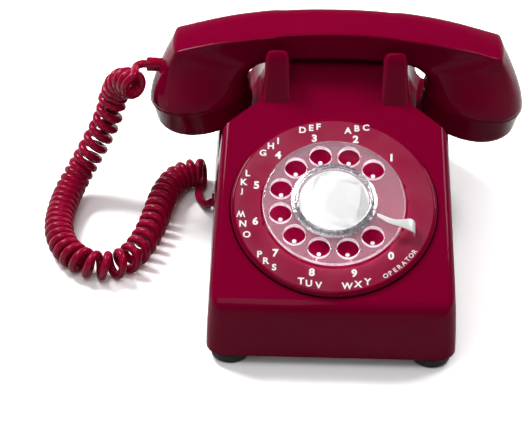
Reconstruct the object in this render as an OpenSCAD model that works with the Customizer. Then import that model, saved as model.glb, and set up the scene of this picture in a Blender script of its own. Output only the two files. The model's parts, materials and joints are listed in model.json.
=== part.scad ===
// Rotary desk telephone with a curly handset cord. Millimetres.
// +X is the user's right, +Y runs from the dial to the back, +Z is up, and the feet stand on z = 0.

/* [Housing] */
// Half the width of the housing at its bottom edge
base_half_w = 77.5; // [75:0.5:80]
// Depth of the housing at its bottom edge
base_depth = 234; // [228:1:240]
// Slope of the dial face from the horizontal, in degrees
face_slope = 22; // [20:1:24]
// Thickness of the moulded walls
wall = 3; // [2.5:0.1:3.5]
// Radius of the soft edge between the front and the dial face
front_edge_r = 14; // [10:1:16]
// Height of the handset shoulders beside the cradle
shoulder_z = 61; // [56:1:62]
// Height of the saddle that the handset lies over
saddle_z = 109.8; // [108:0.1:110.6]
// Height of the cradle horns
horn_top_z = 131; // [124:1:132]

/* [Dial] */
// Radius of the number plate
plate_r = 65; // [62:0.5:65]
// Radius of the clear finger wheel
wheel_r = 44.7; // [43:0.1:45]
// Radius of each finger hole
finger_r = 6.9; // [6:0.1:7]
// Radius of the circle of finger holes
finger_circle_r = 34.4; // [34:0.1:35]
// Radius of the number card
card_r = 22.4; // [20:0.1:22.6]

/* [Handset] */
// Height of the handset's top ridge at its middle
ridge_z = 136; // [134:0.5:138]
// How much lower the ridge is at its two ends
ridge_drop = 16.5; // [14:0.5:17]
// Radius of the ear and mouth caps at their seam
cap_r = 33.5; // [32.5:0.5:34]
// Height of the caps
cap_h = 20; // [18:0.5:20.5]
// Lean of the caps away from the level, in degrees
cap_tilt = 13; // [11:0.5:14]

/* [Cord] */
// Diameter of the cord
cord_d = 5.4; // [4.8:0.1:5.6]
// Outer diameter of the curly stretch
curl_d = 19.5; // [17:0.5:20]

/* [Hidden] */

$fn = 48;
fit = 0.05; // radial running clearance of the shafts

// Colours
cherry = [0.52, 0.0, 0.18];
cherry_dark = [0.40, 0.0, 0.13];
cord_red = [0.66, 0.0, 0.20];
steel = [0.72, 0.73, 0.75];
zinc = [0.60, 0.61, 0.60];
brass = [0.78, 0.62, 0.30];
black = [0.06, 0.06, 0.06];
clear = [0.9, 0.85, 0.88, 0.4];

// Housing profile, in the y-z plane
skirt_z = 8;                       // bottom edge of the housing
front_y = -base_depth / 2;         // bottom of the front
rear_y = base_depth / 2;
front_lean = 3;                    // how far the front leans back
edge_z = 43;                       // height of the line where front and dial face would meet
edge_y = front_y + front_lean;
face_len = 151;                    // from that line up to the front horns
face_end_y = edge_y + face_len * cos(face_slope);
face_end_z = edge_z + face_len * sin(face_slope);
side_lean = 6.5;                   // how far each side curves in, up to shoulder_corner_z
side_curve = 1.7;                  // 1 would be a straight lean
shoulder_corner_z = 92;
rear_lean = 10;                    // how far the rear wall leans forward, up to the saddle
corner_r = 12;                     // plan radius of the front corners
rear_corner_r = 16;
face_edge_r = 5;                   // radius between the dial face and the sides
block_half_w = 46;                 // the cradle block between the two shoulders
shelf_x = 71;                      // where the shoulders' diagonal leaves the sides
shelf_y = edge_y + (shoulder_corner_z - edge_z) / tan(face_slope);

// Cradle
handset_y = 66;                    // the handset lies along this line
handset_x = 1.2;                   // and a little to the right of the middle
horn_in = 29;                      // inner and outer side of each horn
horn_out = 46.5;
rear_horn_drop = 6;                // the rear horns are this much lower
plunger_x = 36.5;
plunger_r = 3.5;
plate_z = 8.2;                     // underside of the base plate
plate_t = 1.5;
floor_z = plate_z + plate_t;       // the base plate's upper face, which carries the inner parts

// Dial frame of reference: its origin is on the dial face, its z axis leaves the face
dial_u = 74;                       // up the face from its lower edge
dial_y = edge_y + dial_u * cos(face_slope);
dial_z = edge_z + dial_u * sin(face_slope);
plate_top = 3;                     // the number plate stands this far above the face
well_r = 45.6;                     // the recess under the finger wheel
well_floor = -1.5;
wheel_top = 8;
wheel_t = 4.4;
shaft_r = 4;
step_a = 30;                       // between neighbouring finger holes
first_hole_a = 45;
stop_slot_r = 50.5;

// Dial gearing: main gear, then a gear and pinion, then the governor
tooth_m = 1;                       // module
main_teeth = 50;
inter_pinion_teeth = 10;
inter_teeth = 30;
gov_teeth = 10;
main_gear_h = -13;                 // heights of the two gear planes
inter_gear_h = -16.5;
gear_t = 2;
inter_a = 150;                     // direction from the dial shaft to the next shaft
inter_r = tooth_m * (main_teeth + inter_pinion_teeth) / 2;
inter_x = inter_r * cos(inter_a);
inter_y = inter_r * sin(inter_a);
gov_a = 75;                        // direction from that shaft to the governor
gov_r = tooth_m * (inter_teeth + gov_teeth) / 2;
gov_x = inter_x + gov_r * cos(gov_a);
gov_y = inter_y + gov_r * sin(gov_a);
bridge_h = -24;                    // underside of the rear bridge

// Ringer
gong_low_at = [-31, -45];
gong_high_at = [30, -45];
gong_low_r = 27;
gong_high_r = 25.5;
gong_rim_z = 17;
gong_top_z = 31;
clapper_y = -5;
clapper_z = 22;

// Handset curves, right half: the upper outline, then its lower side
end_x = 105.5;                     // the ridge turns down from here
cap_x = 89.2;                      // centre of the cap's seam
cap_z = 84.3;
cap_edge = 5.6;                    // rounding of the caps' outer edge
seam_out = [cap_x + cap_r * cos(cap_tilt), cap_z - cap_r * sin(cap_tilt)];
seam_in = [cap_x - cap_r * cos(cap_tilt), cap_z + cap_r * sin(cap_tilt)];
grip_h = 22.5;                     // height of the handle's section
bend_x = 42;                       // the handle's underside bends down from here
ridge_half = 14.7;                 // half width of the top face in the middle and at the ends
ridge_half_end = 16.2;
under_half = 11.5;                 // half width of the underside
ridge_a = 29;                      // where the ridge runs into the round cup, from its outer end
neck_r = 29.4;                     // the collar that the caps screw on to
neck_h = 6;
grommet_x = -122.6;
grommet_z = 99.5;
grommet_r = 4.6;
grommet_h = 7.4;
grommet_neck_r = 3.35;
grommet_depth = 13.5;

// Cord route: the tail from the handset, the curly stretch's axis, and the tail to the housing
handset_route = [[-122.8, 66, 99.5], [-125, 66, 99.5], [-127.1, 65.1, 99.6], [-128.7, 63, 99.8],
    [-129.6, 60, 100], [-130.2, 57, 100], [-131.2, 54, 99.8], [-132.8, 51.4, 99.2]];
curly_route = [[-129.2, 49.5, 92.9], [-131.9, 54, 92.1], [-135, 58.6, 90.2], [-138.4, 62.8, 86.9],
    [-141.2, 66, 81.8], [-143.2, 67.6, 76.1], [-145, 67.4, 70.3], [-146.9, 65.6, 61.5],
    [-150.6, 64.4, 51], [-155.9, 62.1, 39.8], [-162, 58.9, 28.2], [-168.2, 53.4, 18.2],
    [-173.6, 41.5, 11.6], [-176.8, 24.1, 9.9], [-177.5, 6.9, 9.9], [-174, -9.5, 9.9], [-166.2, -23, 9.9],
    [-154.5, -31.8, 9.9], [-141.5, -32.8, 9.9], [-131, -26.2, 9.9], [-123.3, -12.1, 9.9],
    [-117.5, 6.9, 9.9], [-114, 25.9, 9.9], [-110.6, 43, 9.9], [-106, 56.4, 9.9], [-99.4, 65.4, 9.9],
    [-90.5, 69.4, 9.9]];
base_route = [[-90.9, 66, 2.9], [-91.5, 60, 2.9], [-91, 54, 3.5], [-88.8, 47, 5.2], [-85.8, 41.2, 8.6],
    [-83, 37.5, 11.8], [-80.4, 36, 13.4]];

// ---------------------------------------------------------------- helpers

function mix(a, b, t) = a + (b - a) * t;
function ease(t) = let (c = min(max(t, 0), 1)) c * c * (3 - 2 * c);
function unit(v) = v / norm(v);
function bezier(p, t) =
    pow(1 - t, 3) * p[0] + 3 * t * pow(1 - t, 2) * p[1] + 3 * t * t * (1 - t) * p[2] + pow(t, 3) * p[3];

// A closed skin over rings of points. The rings run so that their outside is on the right-hand side.
module loft(rings, flip = false) {
    n = len(rings[0]);
    last = len(rings) - 1;
    points = [for (r = rings) for (p = r) p];
    sides = [for (i = [0:last - 1]) for (j = [0:n - 1]) let (k = (j + 1) % n)
        each [[i * n + j, (i + 1) * n + j, (i + 1) * n + k], [i * n + j, (i + 1) * n + k, i * n + k]]];
    ends = [[for (j = [0:n - 1]) j], [for (j = [n - 1:-1:0]) last * n + j]];
    faces = concat(sides, ends);
    polyhedron(points, flip ? [for (f = faces) [for (i = [len(f) - 1:-1:0]) f[i]]] : faces);
}

// A quarter of a rounded corner about c, from angle a0, with radii rx and ry
function corner(c, rx, ry, a0, n) =
    [for (i = [0:n]) let (a = a0 + 90 * i / n) [c[0] + rx * cos(a), c[1] + ry * sin(a)]];

// A rounded rectangle's outline, counter-clockwise, with its own radii at the front and the rear
function round_rect(x, y0, y1, rf, rr, n) = concat(
    corner([x - rr[0], y1 - rr[1]], rr[0], rr[1], 0, n),
    corner([-x + rr[0], y1 - rr[1]], rr[0], rr[1], 90, n),
    corner([-x + rf[0], y0 + rf[1]], rf[0], rf[1], 180, n),
    corner([x - rf[0], y0 + rf[1]], rf[0], rf[1], 270, n));

function at_z(outline, z) = [for (p = outline) [p[0], p[1], z]];

// A round tube swept along a list of points
function ring_at(path, i, r, n) =
    let (a = path[max(i - 1, 0)], b = path[min(i + 1, len(path) - 1)], t = unit(b - a),
        side = unit(cross(t, [0.12, 0.1, 1])), up = cross(side, t))
    [for (k = [0:n - 1]) let (w = 360 * k / n) path[i] + r * (cos(w) * side + sin(w) * up)];
module tube(path, r, n) loft([for (i = [0:len(path) - 1]) ring_at(path, i, r, n)]);

// Extra points on a smooth curve through the route's own points
function smooth_point(p, i, t) =
    let (n = len(p) - 1, a = p[max(i - 1, 0)], b = p[i], c = p[min(i + 1, n)], d = p[min(i + 2, n)])
    0.5 * (2 * b + (c - a) * t + (2 * a - 5 * b + 4 * c - d) * t * t + (3 * b - a - 3 * c + d) * pow(t, 3));
function smooth(p, k) =
    concat([for (i = [0:len(p) - 2]) for (j = [0:k - 1]) smooth_point(p, i, j / k)], [p[len(p) - 1]]);

module mirrored() { children(); mirror([1, 0, 0]) children(); }
module at_dial(h = 0) translate([0, dial_y, dial_z]) rotate([face_slope, 0, 0]) translate([0, 0, h])
    children();

// A spur gear's outline: involute flanks of a few points, with a little backlash
pressure = 20;
backlash = 0.22;
function involute_a(r, base) = r <= base ? 0 : let (t = sqrt(r * r / base / base - 1))
    t * 180 / PI - atan(t);
function gear_outline(teeth) =
    let (pitch = tooth_m * teeth / 2, base = pitch * cos(pressure), tip = pitch + 0.9 * tooth_m,
        root = pitch - 1.2 * tooth_m, half = 90 / teeth - backlash / 2 / pitch * 180 / PI,
        radii = [max(base, root), pitch, mix(pitch, tip, 0.55), tip])
    [for (k = [0:teeth - 1]) let (a = 360 * k / teeth)
        each concat([[root, a - 180 / teeth * 0.52 - half * 0.5]],
            [for (r = radii) [r, a - half - involute_a(pitch, base) + involute_a(r, base)]],
            [for (i = [3:-1:0]) [radii[i], a + half + involute_a(pitch, base) - involute_a(radii[i],
            base)]],
            [[root, a + 180 / teeth * 0.52 + half * 0.5]])];
module spur_gear(teeth, t, phase = 0) rotate([0, 0, phase]) linear_extrude(t)
    polygon([for (p = gear_outline(teeth)) p[0] * [cos(p[1]), sin(p[1])]]);

// ---------------------------------------------------------------- housing

// The front line at height z: the leaning front, its soft edge, then the dial face
front_a = atan((edge_z - skirt_z) / front_lean);
turn_a = front_a - face_slope;
edge_t = front_edge_r * tan(turn_a / 2);
edge_c = [edge_y + edge_t * cos(face_slope) + front_edge_r * sin(face_slope),
    edge_z + edge_t * sin(face_slope) - front_edge_r * cos(face_slope)];
edge_z0 = edge_c[1] + front_edge_r * sin(90 - front_a);
edge_z1 = edge_c[1] + front_edge_r * cos(face_slope);
function front_at(z) =
    z < edge_z0 ? front_y + (z - skirt_z) / tan(front_a)
    : z < edge_z1 ? edge_c[0] - sqrt(pow(front_edge_r, 2) - pow(z - edge_c[1], 2))
    : edge_y + (z - edge_z) / tan(face_slope);
function half_w_at(z) = base_half_w
    - side_lean * pow(max(z - skirt_z, 0) / (shoulder_corner_z - skirt_z), side_curve);
function rear_at(z) = rear_y - rear_lean * (z - skirt_z) / (saddle_z - skirt_z);

// One level of the body. Between front and face the corner radii stretch along the slope.
function level(z, inset, top) =
    let (s = ease((z - edge_z0) / (edge_z1 - edge_z0)), r = max(corner_r - inset, 4),
        rf = [mix(r, max(face_edge_r - inset / 2, 3), s), mix(r, face_edge_r / sin(face_slope), s)],
        rr = rear_corner_r - inset,
        f = min(front_at(z + inset * s * 1.08) + inset * (1 - s), top))
    at_z(round_rect(half_w_at(z) - inset, f, rear_at(z) - inset, rf, [rr, rr], 5), z);
body_levels = concat([skirt_z, 16, 24], [for (i = [0:6]) mix(edge_z0, edge_z1 - 0.2, i / 6)],
    [edge_z1 + 0.5, 56, 72, 84, 94, 103]);
module body_form(inset) {
    top_z = saddle_z - inset;
    low = inset > 0 ? -6 : 0;
    levels = concat([body_levels[0] + low], [for (i = [1:len(body_levels) - 1]) body_levels[i]], [top_z]);
    loft([for (z = levels) level(z, inset, 60)]);
}

// The room beside the cradle for each cup of the handset, with a rounded foot
function scoop_outline(grow, g) =
    let (x = block_half_w + g + 2 - grow, e = g + 1.5 - grow)
    [[shelf_x + 34, shelf_y - 26 + e], [shelf_x + 1, shelf_y - 0.8 + e],
        [block_half_w + 13 + g - grow, 17.4 + e],
        [x + 1.2, face_end_y + e], [x, face_end_y + 8 + e], [x - 1.5, 56], [x - 2, 74], [x - 1.5, 92],
        [x, 104], [x + 3, 116], [x + 5, 140], [shelf_x + 34, 140]];
module scoop(grow) mirrored() loft([
    at_z(scoop_outline(grow, 13), shoulder_z - grow), at_z(scoop_outline(grow, 8), shoulder_z + 1.6 - grow),
    at_z(scoop_outline(grow, 5), shoulder_z + 5.5 - grow), at_z(scoop_outline(grow, 3.2), shoulder_z + 12),
    at_z(scoop_outline(grow, 1.2), shoulder_z + 27), at_z(scoop_outline(grow, -0.4), 99),
    at_z(scoop_outline(grow, -1.6), 107), at_z(scoop_outline(grow, -3), 113)], true);

// The hand-hold under the rear of the cradle
module hand_hold(grow) loft([for (s = [0:4]) let (d = [0, 1, 3, 8, 20][s],
    w = [26, 29, 31, 32.5, 34][s] + grow)
    [for (p = round_rect(w, 68 - d * 0.15 - grow, 93 + d * 0.1 + grow, [8, 8], [8, 8], 4))
        [p[0], 92 + d - grow, p[1]]]], true);

// One horn, from the cradle block up to its rounded top
module horn(front) {
    foot_z = saddle_z - 16;
    tip_z = front ? horn_top_z : horn_top_z - rear_horn_drop;
    levels = [[foot_z, 0], [100, 0], [112, 0], [tip_z - 9, 0], [tip_z - 4, 0.6], [tip_z - 1.4, 1.8],
        [tip_z, 4.2]];
    lean = 12 / (horn_top_z - face_end_z);
    loft([for (l = levels) let (z = l[0], r = l[1], up = z - face_end_z, y0 = face_end_y + lean * up + r,
        y1 = 46 + 0.07 * up - r, x0 = horn_in + 0.05 * up + r, x1 = horn_out - 0.055 * up - r,
        c = min(3, (x1 - x0) / 2 - 0.2, (y1 - y0) / 2 - 0.2))
        [for (p = round_rect((x1 - x0) / 2, y0, y1, [c, c], [c, c], 3))
            [p[0] + (x0 + x1) / 2, front ? p[1] : 2 * handset_y - p[1], z]]], !front);
}

module housing_shell() difference() {
    union() {
        difference() {
            body_form(0);
            scoop(0);
        }
        mirrored() {
            horn(true);
            horn(false);
        }
    }
    difference() {
        body_form(wall);
        scoop(wall);
    }
    hand_hold(0);
}

module housing() color(cherry) {
    difference() {
        union() {
            housing_shell();
            // The hand-hold's own wall
            difference() {
                intersection() {
                    hand_hold(2.4);
                    translate([-60, 80, 50]) cube([120, rear_at(60) - 81, 60]);
                }
                hand_hold(0);
            }
            screw_bosses();
        }
        at_dial(-30) cylinder(r = plate_r + 0.4, h = 60, $fn = 96);
        mirrored() translate([plunger_x, handset_y, 90]) cylinder(r = plunger_r + fit, h = 30);
        // Inlets for the line cord at the rear and the handset cord on the left
        at_inlet() translate([0, 0, -20]) cylinder(r = 6, h = 40);
        translate([-90, 31.6, skirt_z - 1]) cube([30, 8.8, plug_top + 1.4 - skirt_z]);
        screw_bores();
    }
}
boss_at = [[0, -104, 46], [0, 103, 67]];
module screw_bosses() for (b = boss_at) translate([b[0], b[1], floor_z])
    cylinder(r = 4.5, h = b[2] - floor_z);
module screw_bores() for (b = boss_at) translate([b[0], b[1], floor_z - 1]) cylinder(r = 1.6, h = 18);

// ---------------------------------------------------------------- base

foot_at = [[62.4, -103.6], [62.4, 98]];
foot_r = 12;
module each_foot() for (f = foot_at) mirrored() translate([f[0], f[1], 0]) children();

module base_plate() color(zinc) difference() {
    translate([0, 0, plate_z]) linear_extrude(plate_t)
        polygon(round_rect(base_half_w - wall - 0.5, front_y + wall + 0.7, rear_y - wall - 0.6, [9, 9],
            [12, 12], 8));
    each_foot() translate([0, 0, plate_z - 1]) cylinder(r = 2.6, h = 4);
    for (b = boss_at) translate([b[0], b[1], plate_z - 1]) cylinder(r = 2.1, h = 4);
    translate([wheel_at[0] - 3, wheel_at[1] - 11, plate_z - 1]) cube([6, 22, 4]);
    // Sound slots under the gongs
    for (x = [-30, 30]) for (k = [-2:2]) translate([x + k * 7 - 1.5, -56, plate_z - 1]) cube([3, 22, 4]);
}
module feet() color(black) each_foot() rotate_extrude()
    polygon([[0, 1.6], [3.6, 1.6], [3.6, 0], [foot_r - 1.6, 0], [foot_r - 0.5, 0.5], [foot_r, 1.6],
        [foot_r, 5.4], [foot_r - 0.8, 6.2], [foot_r - 2.4, 6.2], [foot_r - 2.4, plate_z], [0, plate_z]]);
module foot_rivets() color(steel) each_foot() translate([0, 0, plate_z]) {
    cylinder(r = 2.55, h = plate_t);
    translate([0, 0, plate_t]) cylinder(r = 4, h = 1.1);
}
module housing_screws() color(steel) for (b = boss_at) translate([b[0], b[1], 0]) difference() {
    union() {
        translate([0, 0, plate_z - 2.2]) cylinder(r = 4, h = 2.2);
        translate([0, 0, plate_z - 0.5]) cylinder(r = 1.58, h = 14);
    }
    translate([-5, -0.5, plate_z - 3]) cube([10, 1, 1.7]);
}

// ---------------------------------------------------------------- dial

module number_plate() color(cherry) at_dial() difference() {
    rotate_extrude($fn = 96) polygon([[11, well_floor - 1.8], [well_r - 1.6, well_floor - 1.8],
        [well_r - 0.2, 1],
        [62.6, 1], [62.6, -8], [plate_r, -8], [plate_r, 1.6], [plate_r - 0.4, 2.4],
        [plate_r - 1.4, plate_top],
        [well_r + 0.8, plate_top], [well_r, plate_top - 0.8], [well_r - 0.6, well_floor],
        [11, well_floor]]);
    stop_slot();
}
stop_a = -20;
module stop_slot() rotate([0, 0, stop_a]) translate([stop_slot_r - 1.2, -5, -3]) cube([2.4, 10, 10]);

post_a = [80, 225, 310];
module dial_frame() color(zinc) at_dial() {
    difference() {
        union() {
            translate([0, 0, -6]) cylinder(r = 43, h = 1.6);
            translate([0, 0, -12]) cylinder(r = 8, h = 9);
            // The return spring's outer end is held by this pin
            translate([spring_out_r + 1.7, 0, -12]) cylinder(r = 1.2, h = 7);
            // Pads that carry the number plate
            for (a = [30:120:270]) rotate([0, 0, a]) translate([40, 0, -5]) cylinder(r = 2.5, h = 1.7);
        }
        translate([0, 0, -20]) cylinder(r = shaft_r + fit, h = 30);
        translate([inter_x, inter_y, -20]) cylinder(r = 1.5 + fit, h = 30);
        translate([gov_x, gov_y, -20]) cylinder(r = 1.5 + fit, h = 30);
    }
    // Posts between the frame and the rear bridge
    for (a = post_a) rotate([0, 0, a]) translate([39, 0, bridge_h + 1.6])
        cylinder(r = 2.2, h = -bridge_h - 7.4);
}
module dial_rear_bridge() color(zinc) at_dial(bridge_h) difference() {
    union() {
        cylinder(r = 11, h = 1.6);
        for (a = post_a) rotate([0, 0, a]) translate([0, -5, 0]) cube([39, 10, 1.6]);
        for (a = post_a) rotate([0, 0, a]) translate([39, 0, 0]) cylinder(r = 5, h = 1.6);
        hull() {
            translate([inter_x, inter_y, 0]) cylinder(r = 5, h = 1.6, $fn = 32);
            cylinder(r = 7, h = 1.6, $fn = 32);
        }
        hull() {
            translate([inter_x, inter_y, 0]) cylinder(r = 5, h = 1.6, $fn = 32);
            translate([gov_x, gov_y, 0]) cylinder(r = 5, h = 1.6, $fn = 32);
        }
    }
    translate([0, 0, -1]) cylinder(r = shaft_r + fit, h = 4);
    translate([inter_x, inter_y, -1]) cylinder(r = 1.5 + fit, h = 4);
    translate([gov_x, gov_y, -1]) cylinder(r = 1.5 + fit, h = 4);
}

// Steel legs that hold the dial at each side
bracket_x = 50;
module dial_bracket() color(zinc) {
    mirrored() translate([bracket_x + 1.5, 0, 0]) rotate([90, 0, -90]) linear_extrude(1.5) difference() {
        polygon([[94, floor_z], [94, 34], under_face(-34, -9), under_face(-34, 1), under_face(34, 1),
            under_face(34, -9), [6, 60], [6, floor_z]]);
        polygon([[84, floor_z - 1], [84, 26], [74, 37], [58, 45], [24, 54], [15, 48], [15, floor_z - 1]]);
    }
    mirrored() {
        translate([bracket_x, -94, floor_z]) cube([11, 10, 1.5]);
        translate([bracket_x, -15, floor_z]) cube([11, 9, 1.5]);
    }
}
// The legs' outline touches the plate's underside at v up the slope and h out of the face
function under_face(v, h) = [-dial_y - v * cos(face_slope) + h * sin(face_slope),
    dial_z + v * sin(face_slope) + h * cos(face_slope)];

// The stop: an arm over the wheel that turns down into the plate
stop_h = 9.6;
stop_t = 1.3;
module finger_stop() color(steel) at_dial() {
    difference() {
        translate([0, 0, stop_h]) linear_extrude(stop_t) polygon(concat(
            [for (i = [0:6]) let (t = i / 6) [mix(27, 50.6, t), -8.6 - 13 * t + 10.4 * pow(t, 2.2)]],
            [[51.7, -13], [50.2, -21.2], [48.8, -22.4]],
            [for (i = [0:5]) let (t = i / 5) [mix(46, 26.2, t), -21.4 + 10.2 * pow(t, 1.15)]]));
        translate([0, 0, stop_h - 1]) cylinder(r = 26.4, h = 4);
    }
    // The leg through the number plate, and its clamp on the dial frame's edge
    rotate([0, 0, stop_a]) translate([stop_slot_r - 0.9, -4.4, -5]) cube([1.8, 8.8, stop_h + 5 + stop_t]);
    rotate([0, 0, stop_a]) translate([43, -4.4, -6]) cube([stop_slot_r - 42.1, 8.8, 1.6]);
}

module finger_wheel() color(clear) at_dial(wheel_top - wheel_t) difference() {
    rotate_extrude($fn = 96) polygon([[9, 0.4], [24, 0.4], [26, 0], [wheel_r - 0.6, 0], [wheel_r, 0.8],
        [wheel_r, wheel_t - 1], [wheel_r - 0.9, wheel_t], [25, wheel_t], [24.6, wheel_t - 1],
        [9, wheel_t - 1]]);
    for (k = [0:9]) rotate([0, 0, first_hole_a + step_a * k]) translate([finger_circle_r, 0, -1])
        cylinder(r = finger_r, h = wheel_t + 2);
}
hub_h = wheel_top - 1;
module number_card() color("white") at_dial(hub_h + 0.5) cylinder(r = card_r - 0.6, h = 0.8);
module card_cover() color(clear) at_dial(hub_h + 1.3) rotate_extrude() polygon([[0, 0], [card_r, 0],
    [card_r, 0.6], [card_r - 1.2, 1.2], [card_r - 6, 1.9], [0, 2.3]]);
module card_retainer() color(steel) at_dial(hub_h) rotate_extrude() polygon([[6, 0], [24.4, 0], [24.4, 1.4],
    [23.6, 2.6], [card_r + 0.02, 2.9], [card_r + 0.02, 1.28], [card_r - 0.5, 1.28], [card_r - 0.5, 0.48],
    [6, 0.48]]);
module dial_shaft() color(steel) at_dial() {
    translate([0, 0, bridge_h - 1]) cylinder(r = shaft_r, h = hub_h - bridge_h - 1.4);
    translate([0, 0, wheel_top - wheel_t - 2.6]) cylinder(r = 10.6, h = 3);
    translate([0, 0, hub_h - 3.4]) cylinder(r = 8.95, h = 3.4);
}
module main_gear() color(brass) at_dial(main_gear_h - gear_t) {
    difference() {
        union() {
            spur_gear(main_teeth, gear_t);
            translate([0, 0, -2.5]) cylinder(r = 7, h = 3);
        }
        translate([0, 0, -3]) cylinder(r = shaft_r, h = 8);
    }
}
// A flat spiral spring of three turns round the frame's boss
spring_in_r = 8;
spring_out_r = 13.5;
module return_spring() color(steel) at_dial(-11.5) linear_extrude(2.4) {
    n = 72;
    inner = [for (i = [0:n]) mix(spring_in_r, spring_out_r, i / n) * [cos(i * 15), sin(i * 15)]];
    outer = [for (i = [n:-1:0]) (mix(spring_in_r, spring_out_r, i / n) + 0.5) * [cos(i * 15), sin(i * 15)]];
    polygon(concat(inner, outer));
}
// Teeth face each other along the line of centres: a tooth of one, a gap of the other
module intermediate_gear() color(brass) at_dial() translate([inter_x, inter_y, 0]) {
    translate([0, 0, bridge_h - 0.5]) cylinder(r = 1.5, h = -bridge_h - 3.5);
    translate([0, 0, main_gear_h - gear_t - 0.5])
        spur_gear(inter_pinion_teeth, gear_t + 1, inter_pinion_phase);
    translate([0, 0, inter_gear_h - gear_t]) spur_gear(inter_teeth, gear_t, inter_phase);
}
// the main gear's tooth nearest that line
main_tooth_a = round(inter_a * main_teeth / 360) * 360 / main_teeth;
inter_pinion_phase = inter_a + 180 + 180 / inter_pinion_teeth
    - (main_tooth_a - inter_a) * main_teeth / inter_pinion_teeth;
inter_phase = gov_a;
gov_phase = gov_a + 180 + 180 / gov_teeth;
module governor_rotor() color(brass) at_dial() translate([gov_x, gov_y, 0]) {
    translate([0, 0, bridge_h - 0.5]) cylinder(r = 1.5, h = -bridge_h - 3.5);
    translate([0, 0, inter_gear_h - gear_t - 0.5]) spur_gear(gov_teeth, gear_t + 1, gov_phase);
    // Fly weights on a cross arm inside the cup
    translate([-6.5, -1, -12.6]) cube([13, 2, 1.2]);
    for (s = [-1, 1]) translate([s * 5.4, 0, -14]) cylinder(r = 1.8, h = 4);
}
module governor_cup() color(zinc) at_dial() translate([gov_x, gov_y, 0]) difference() {
    translate([0, 0, -14.4]) cylinder(r = 9.4, h = 8.4);
    translate([0, 0, -15]) cylinder(r = 8.4, h = 8);
    translate([0, 0, -8]) cylinder(r = 1.7, h = 4);
}
// Contact strips with insulating pads, clear of the gears
module pulse_contacts() color(brass) at_dial() translate([36, -13, 0]) rotate([0, 0, 90]) {
    for (k = [0:3]) translate([0, 0, -9.4 - 2.6 * k]) cube([26, 5, 0.5]);
    for (k = [0:2]) translate([19, 0, -11.5 - 2.6 * k]) cube([7, 5, 2.1]);
    translate([19, 0, -8.9]) cube([7, 5, 2.9]);
}

// ---------------------------------------------------------------- ringer

module ringer_frame() color(zinc) {
    translate([-24, -2, floor_z]) cube([48, 34, 1.6]);
    translate([-24, 30.4, floor_z]) cube([48, 1.6, 24]);
    translate([-3, -12, floor_z]) cube([6, 12, 1.6]);
    // Clapper bearing: a lower and an upper tab
    difference() {
        union() {
            translate([-3, clapper_y - 3, floor_z + 1.6]) cube([6, 6, 2.4]);
            translate([-3, clapper_y - 3, 30]) cube([6, 39, 1.6]);
        }
        translate([0, clapper_y, floor_z]) cylinder(r = 1.2 + fit, h = 30);
    }
}
module ringer_coils() color([0.55, 0.25, 0.1]) mirrored() translate([14, 0, clapper_z - 0.5])
    rotate([-90, 0, 0]) {
    translate([0, 0, -2.6]) cylinder(r = 4, h = 33);
    translate([0, 0, 1.4]) cylinder(r = 9, h = 1.2);
    translate([0, 0, 2.6]) cylinder(r = 8.2, h = 25.4);
    translate([0, 0, 28]) cylinder(r = 9, h = 1.2);
}
module ringer_magnet() color(steel) translate([-3.6, 3, floor_z + 1.6]) cube([7.2, 26, 10]);
// The armature rocks in front of the poles, and its rod reaches between the gongs
module clapper() color(steel) {
    translate([0, clapper_y, floor_z + 2]) cylinder(r = 1.2, h = 19.8);
    translate([-19, clapper_y - 1, clapper_z - 4]) cube([38, 2.2, 8]);
    translate([0, clapper_y, clapper_z]) rotate([90, 0, 0]) cylinder(r = 0.8, h = 38);
    translate([0, gong_low_at[1], clapper_z]) sphere(r = 3);
}
module gong(r) rotate_extrude($fn = 72) polygon(concat([[3, gong_top_z - 1.5], [3, gong_top_z],
    [9, gong_top_z]],
    [for (a = [80:-16:0]) [9 + (r - 9) * cos(a), gong_rim_z + (gong_top_z - gong_rim_z) * sin(a)]],
    [[r, gong_rim_z - 2], [r - 1.5, gong_rim_z - 2]],
    [for (a = [0:16:80]) [9 + (r - 10.5) * cos(a),
    gong_rim_z + (gong_top_z - gong_rim_z - 1.5) * sin(a)]]));
module gong_low() color(brass) translate([gong_low_at[0], gong_low_at[1], 0]) gong(gong_low_r);
module gong_high() color(brass) translate([gong_high_at[0], gong_high_at[1], 0]) gong(gong_high_r);
module gong_posts() color(steel) for (g = [gong_low_at, gong_high_at]) translate([g[0], g[1], floor_z]) {
    cylinder(r = 5, h = gong_top_z - 1.5 - floor_z);
    cylinder(r = 2.98, h = gong_top_z - floor_z);
    translate([0, 0, gong_top_z - floor_z]) cylinder(r = 4.6, h = 1.4);
}
// A knurled wheel that reaches through the base plate's slot
wheel_at = [48, 4, 18.6];
wheel_lug_r = 12;
module volume_wheel() color(zinc) translate(wheel_at) rotate([0, 90, 0]) translate([0, 0, -1.5])
    difference() {
    union() {
        linear_extrude(3) polygon([for (k = [0:47]) let (r = wheel_lug_r - (k % 2) * 0.5)
            r * [cos(k * 7.5), sin(k * 7.5)]]);
        translate([0, 0, 3]) cylinder(r = 4, h = 2);
    }
    translate([0, 0, -1]) cylinder(r = 1.5 + fit, h = 8);
}
module volume_wheel_bracket() color(steel) {
    translate(wheel_at) rotate([0, 90, 0]) translate([0, 0, -7.5]) cylinder(r = 1.5, h = 15);
    for (x = [-7.5, 6]) translate([wheel_at[0] + x, wheel_at[1] - 4, floor_z]) cube([1.5, 8, 13]);
}

// ---------------------------------------------------------------- network and hook switch

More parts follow.
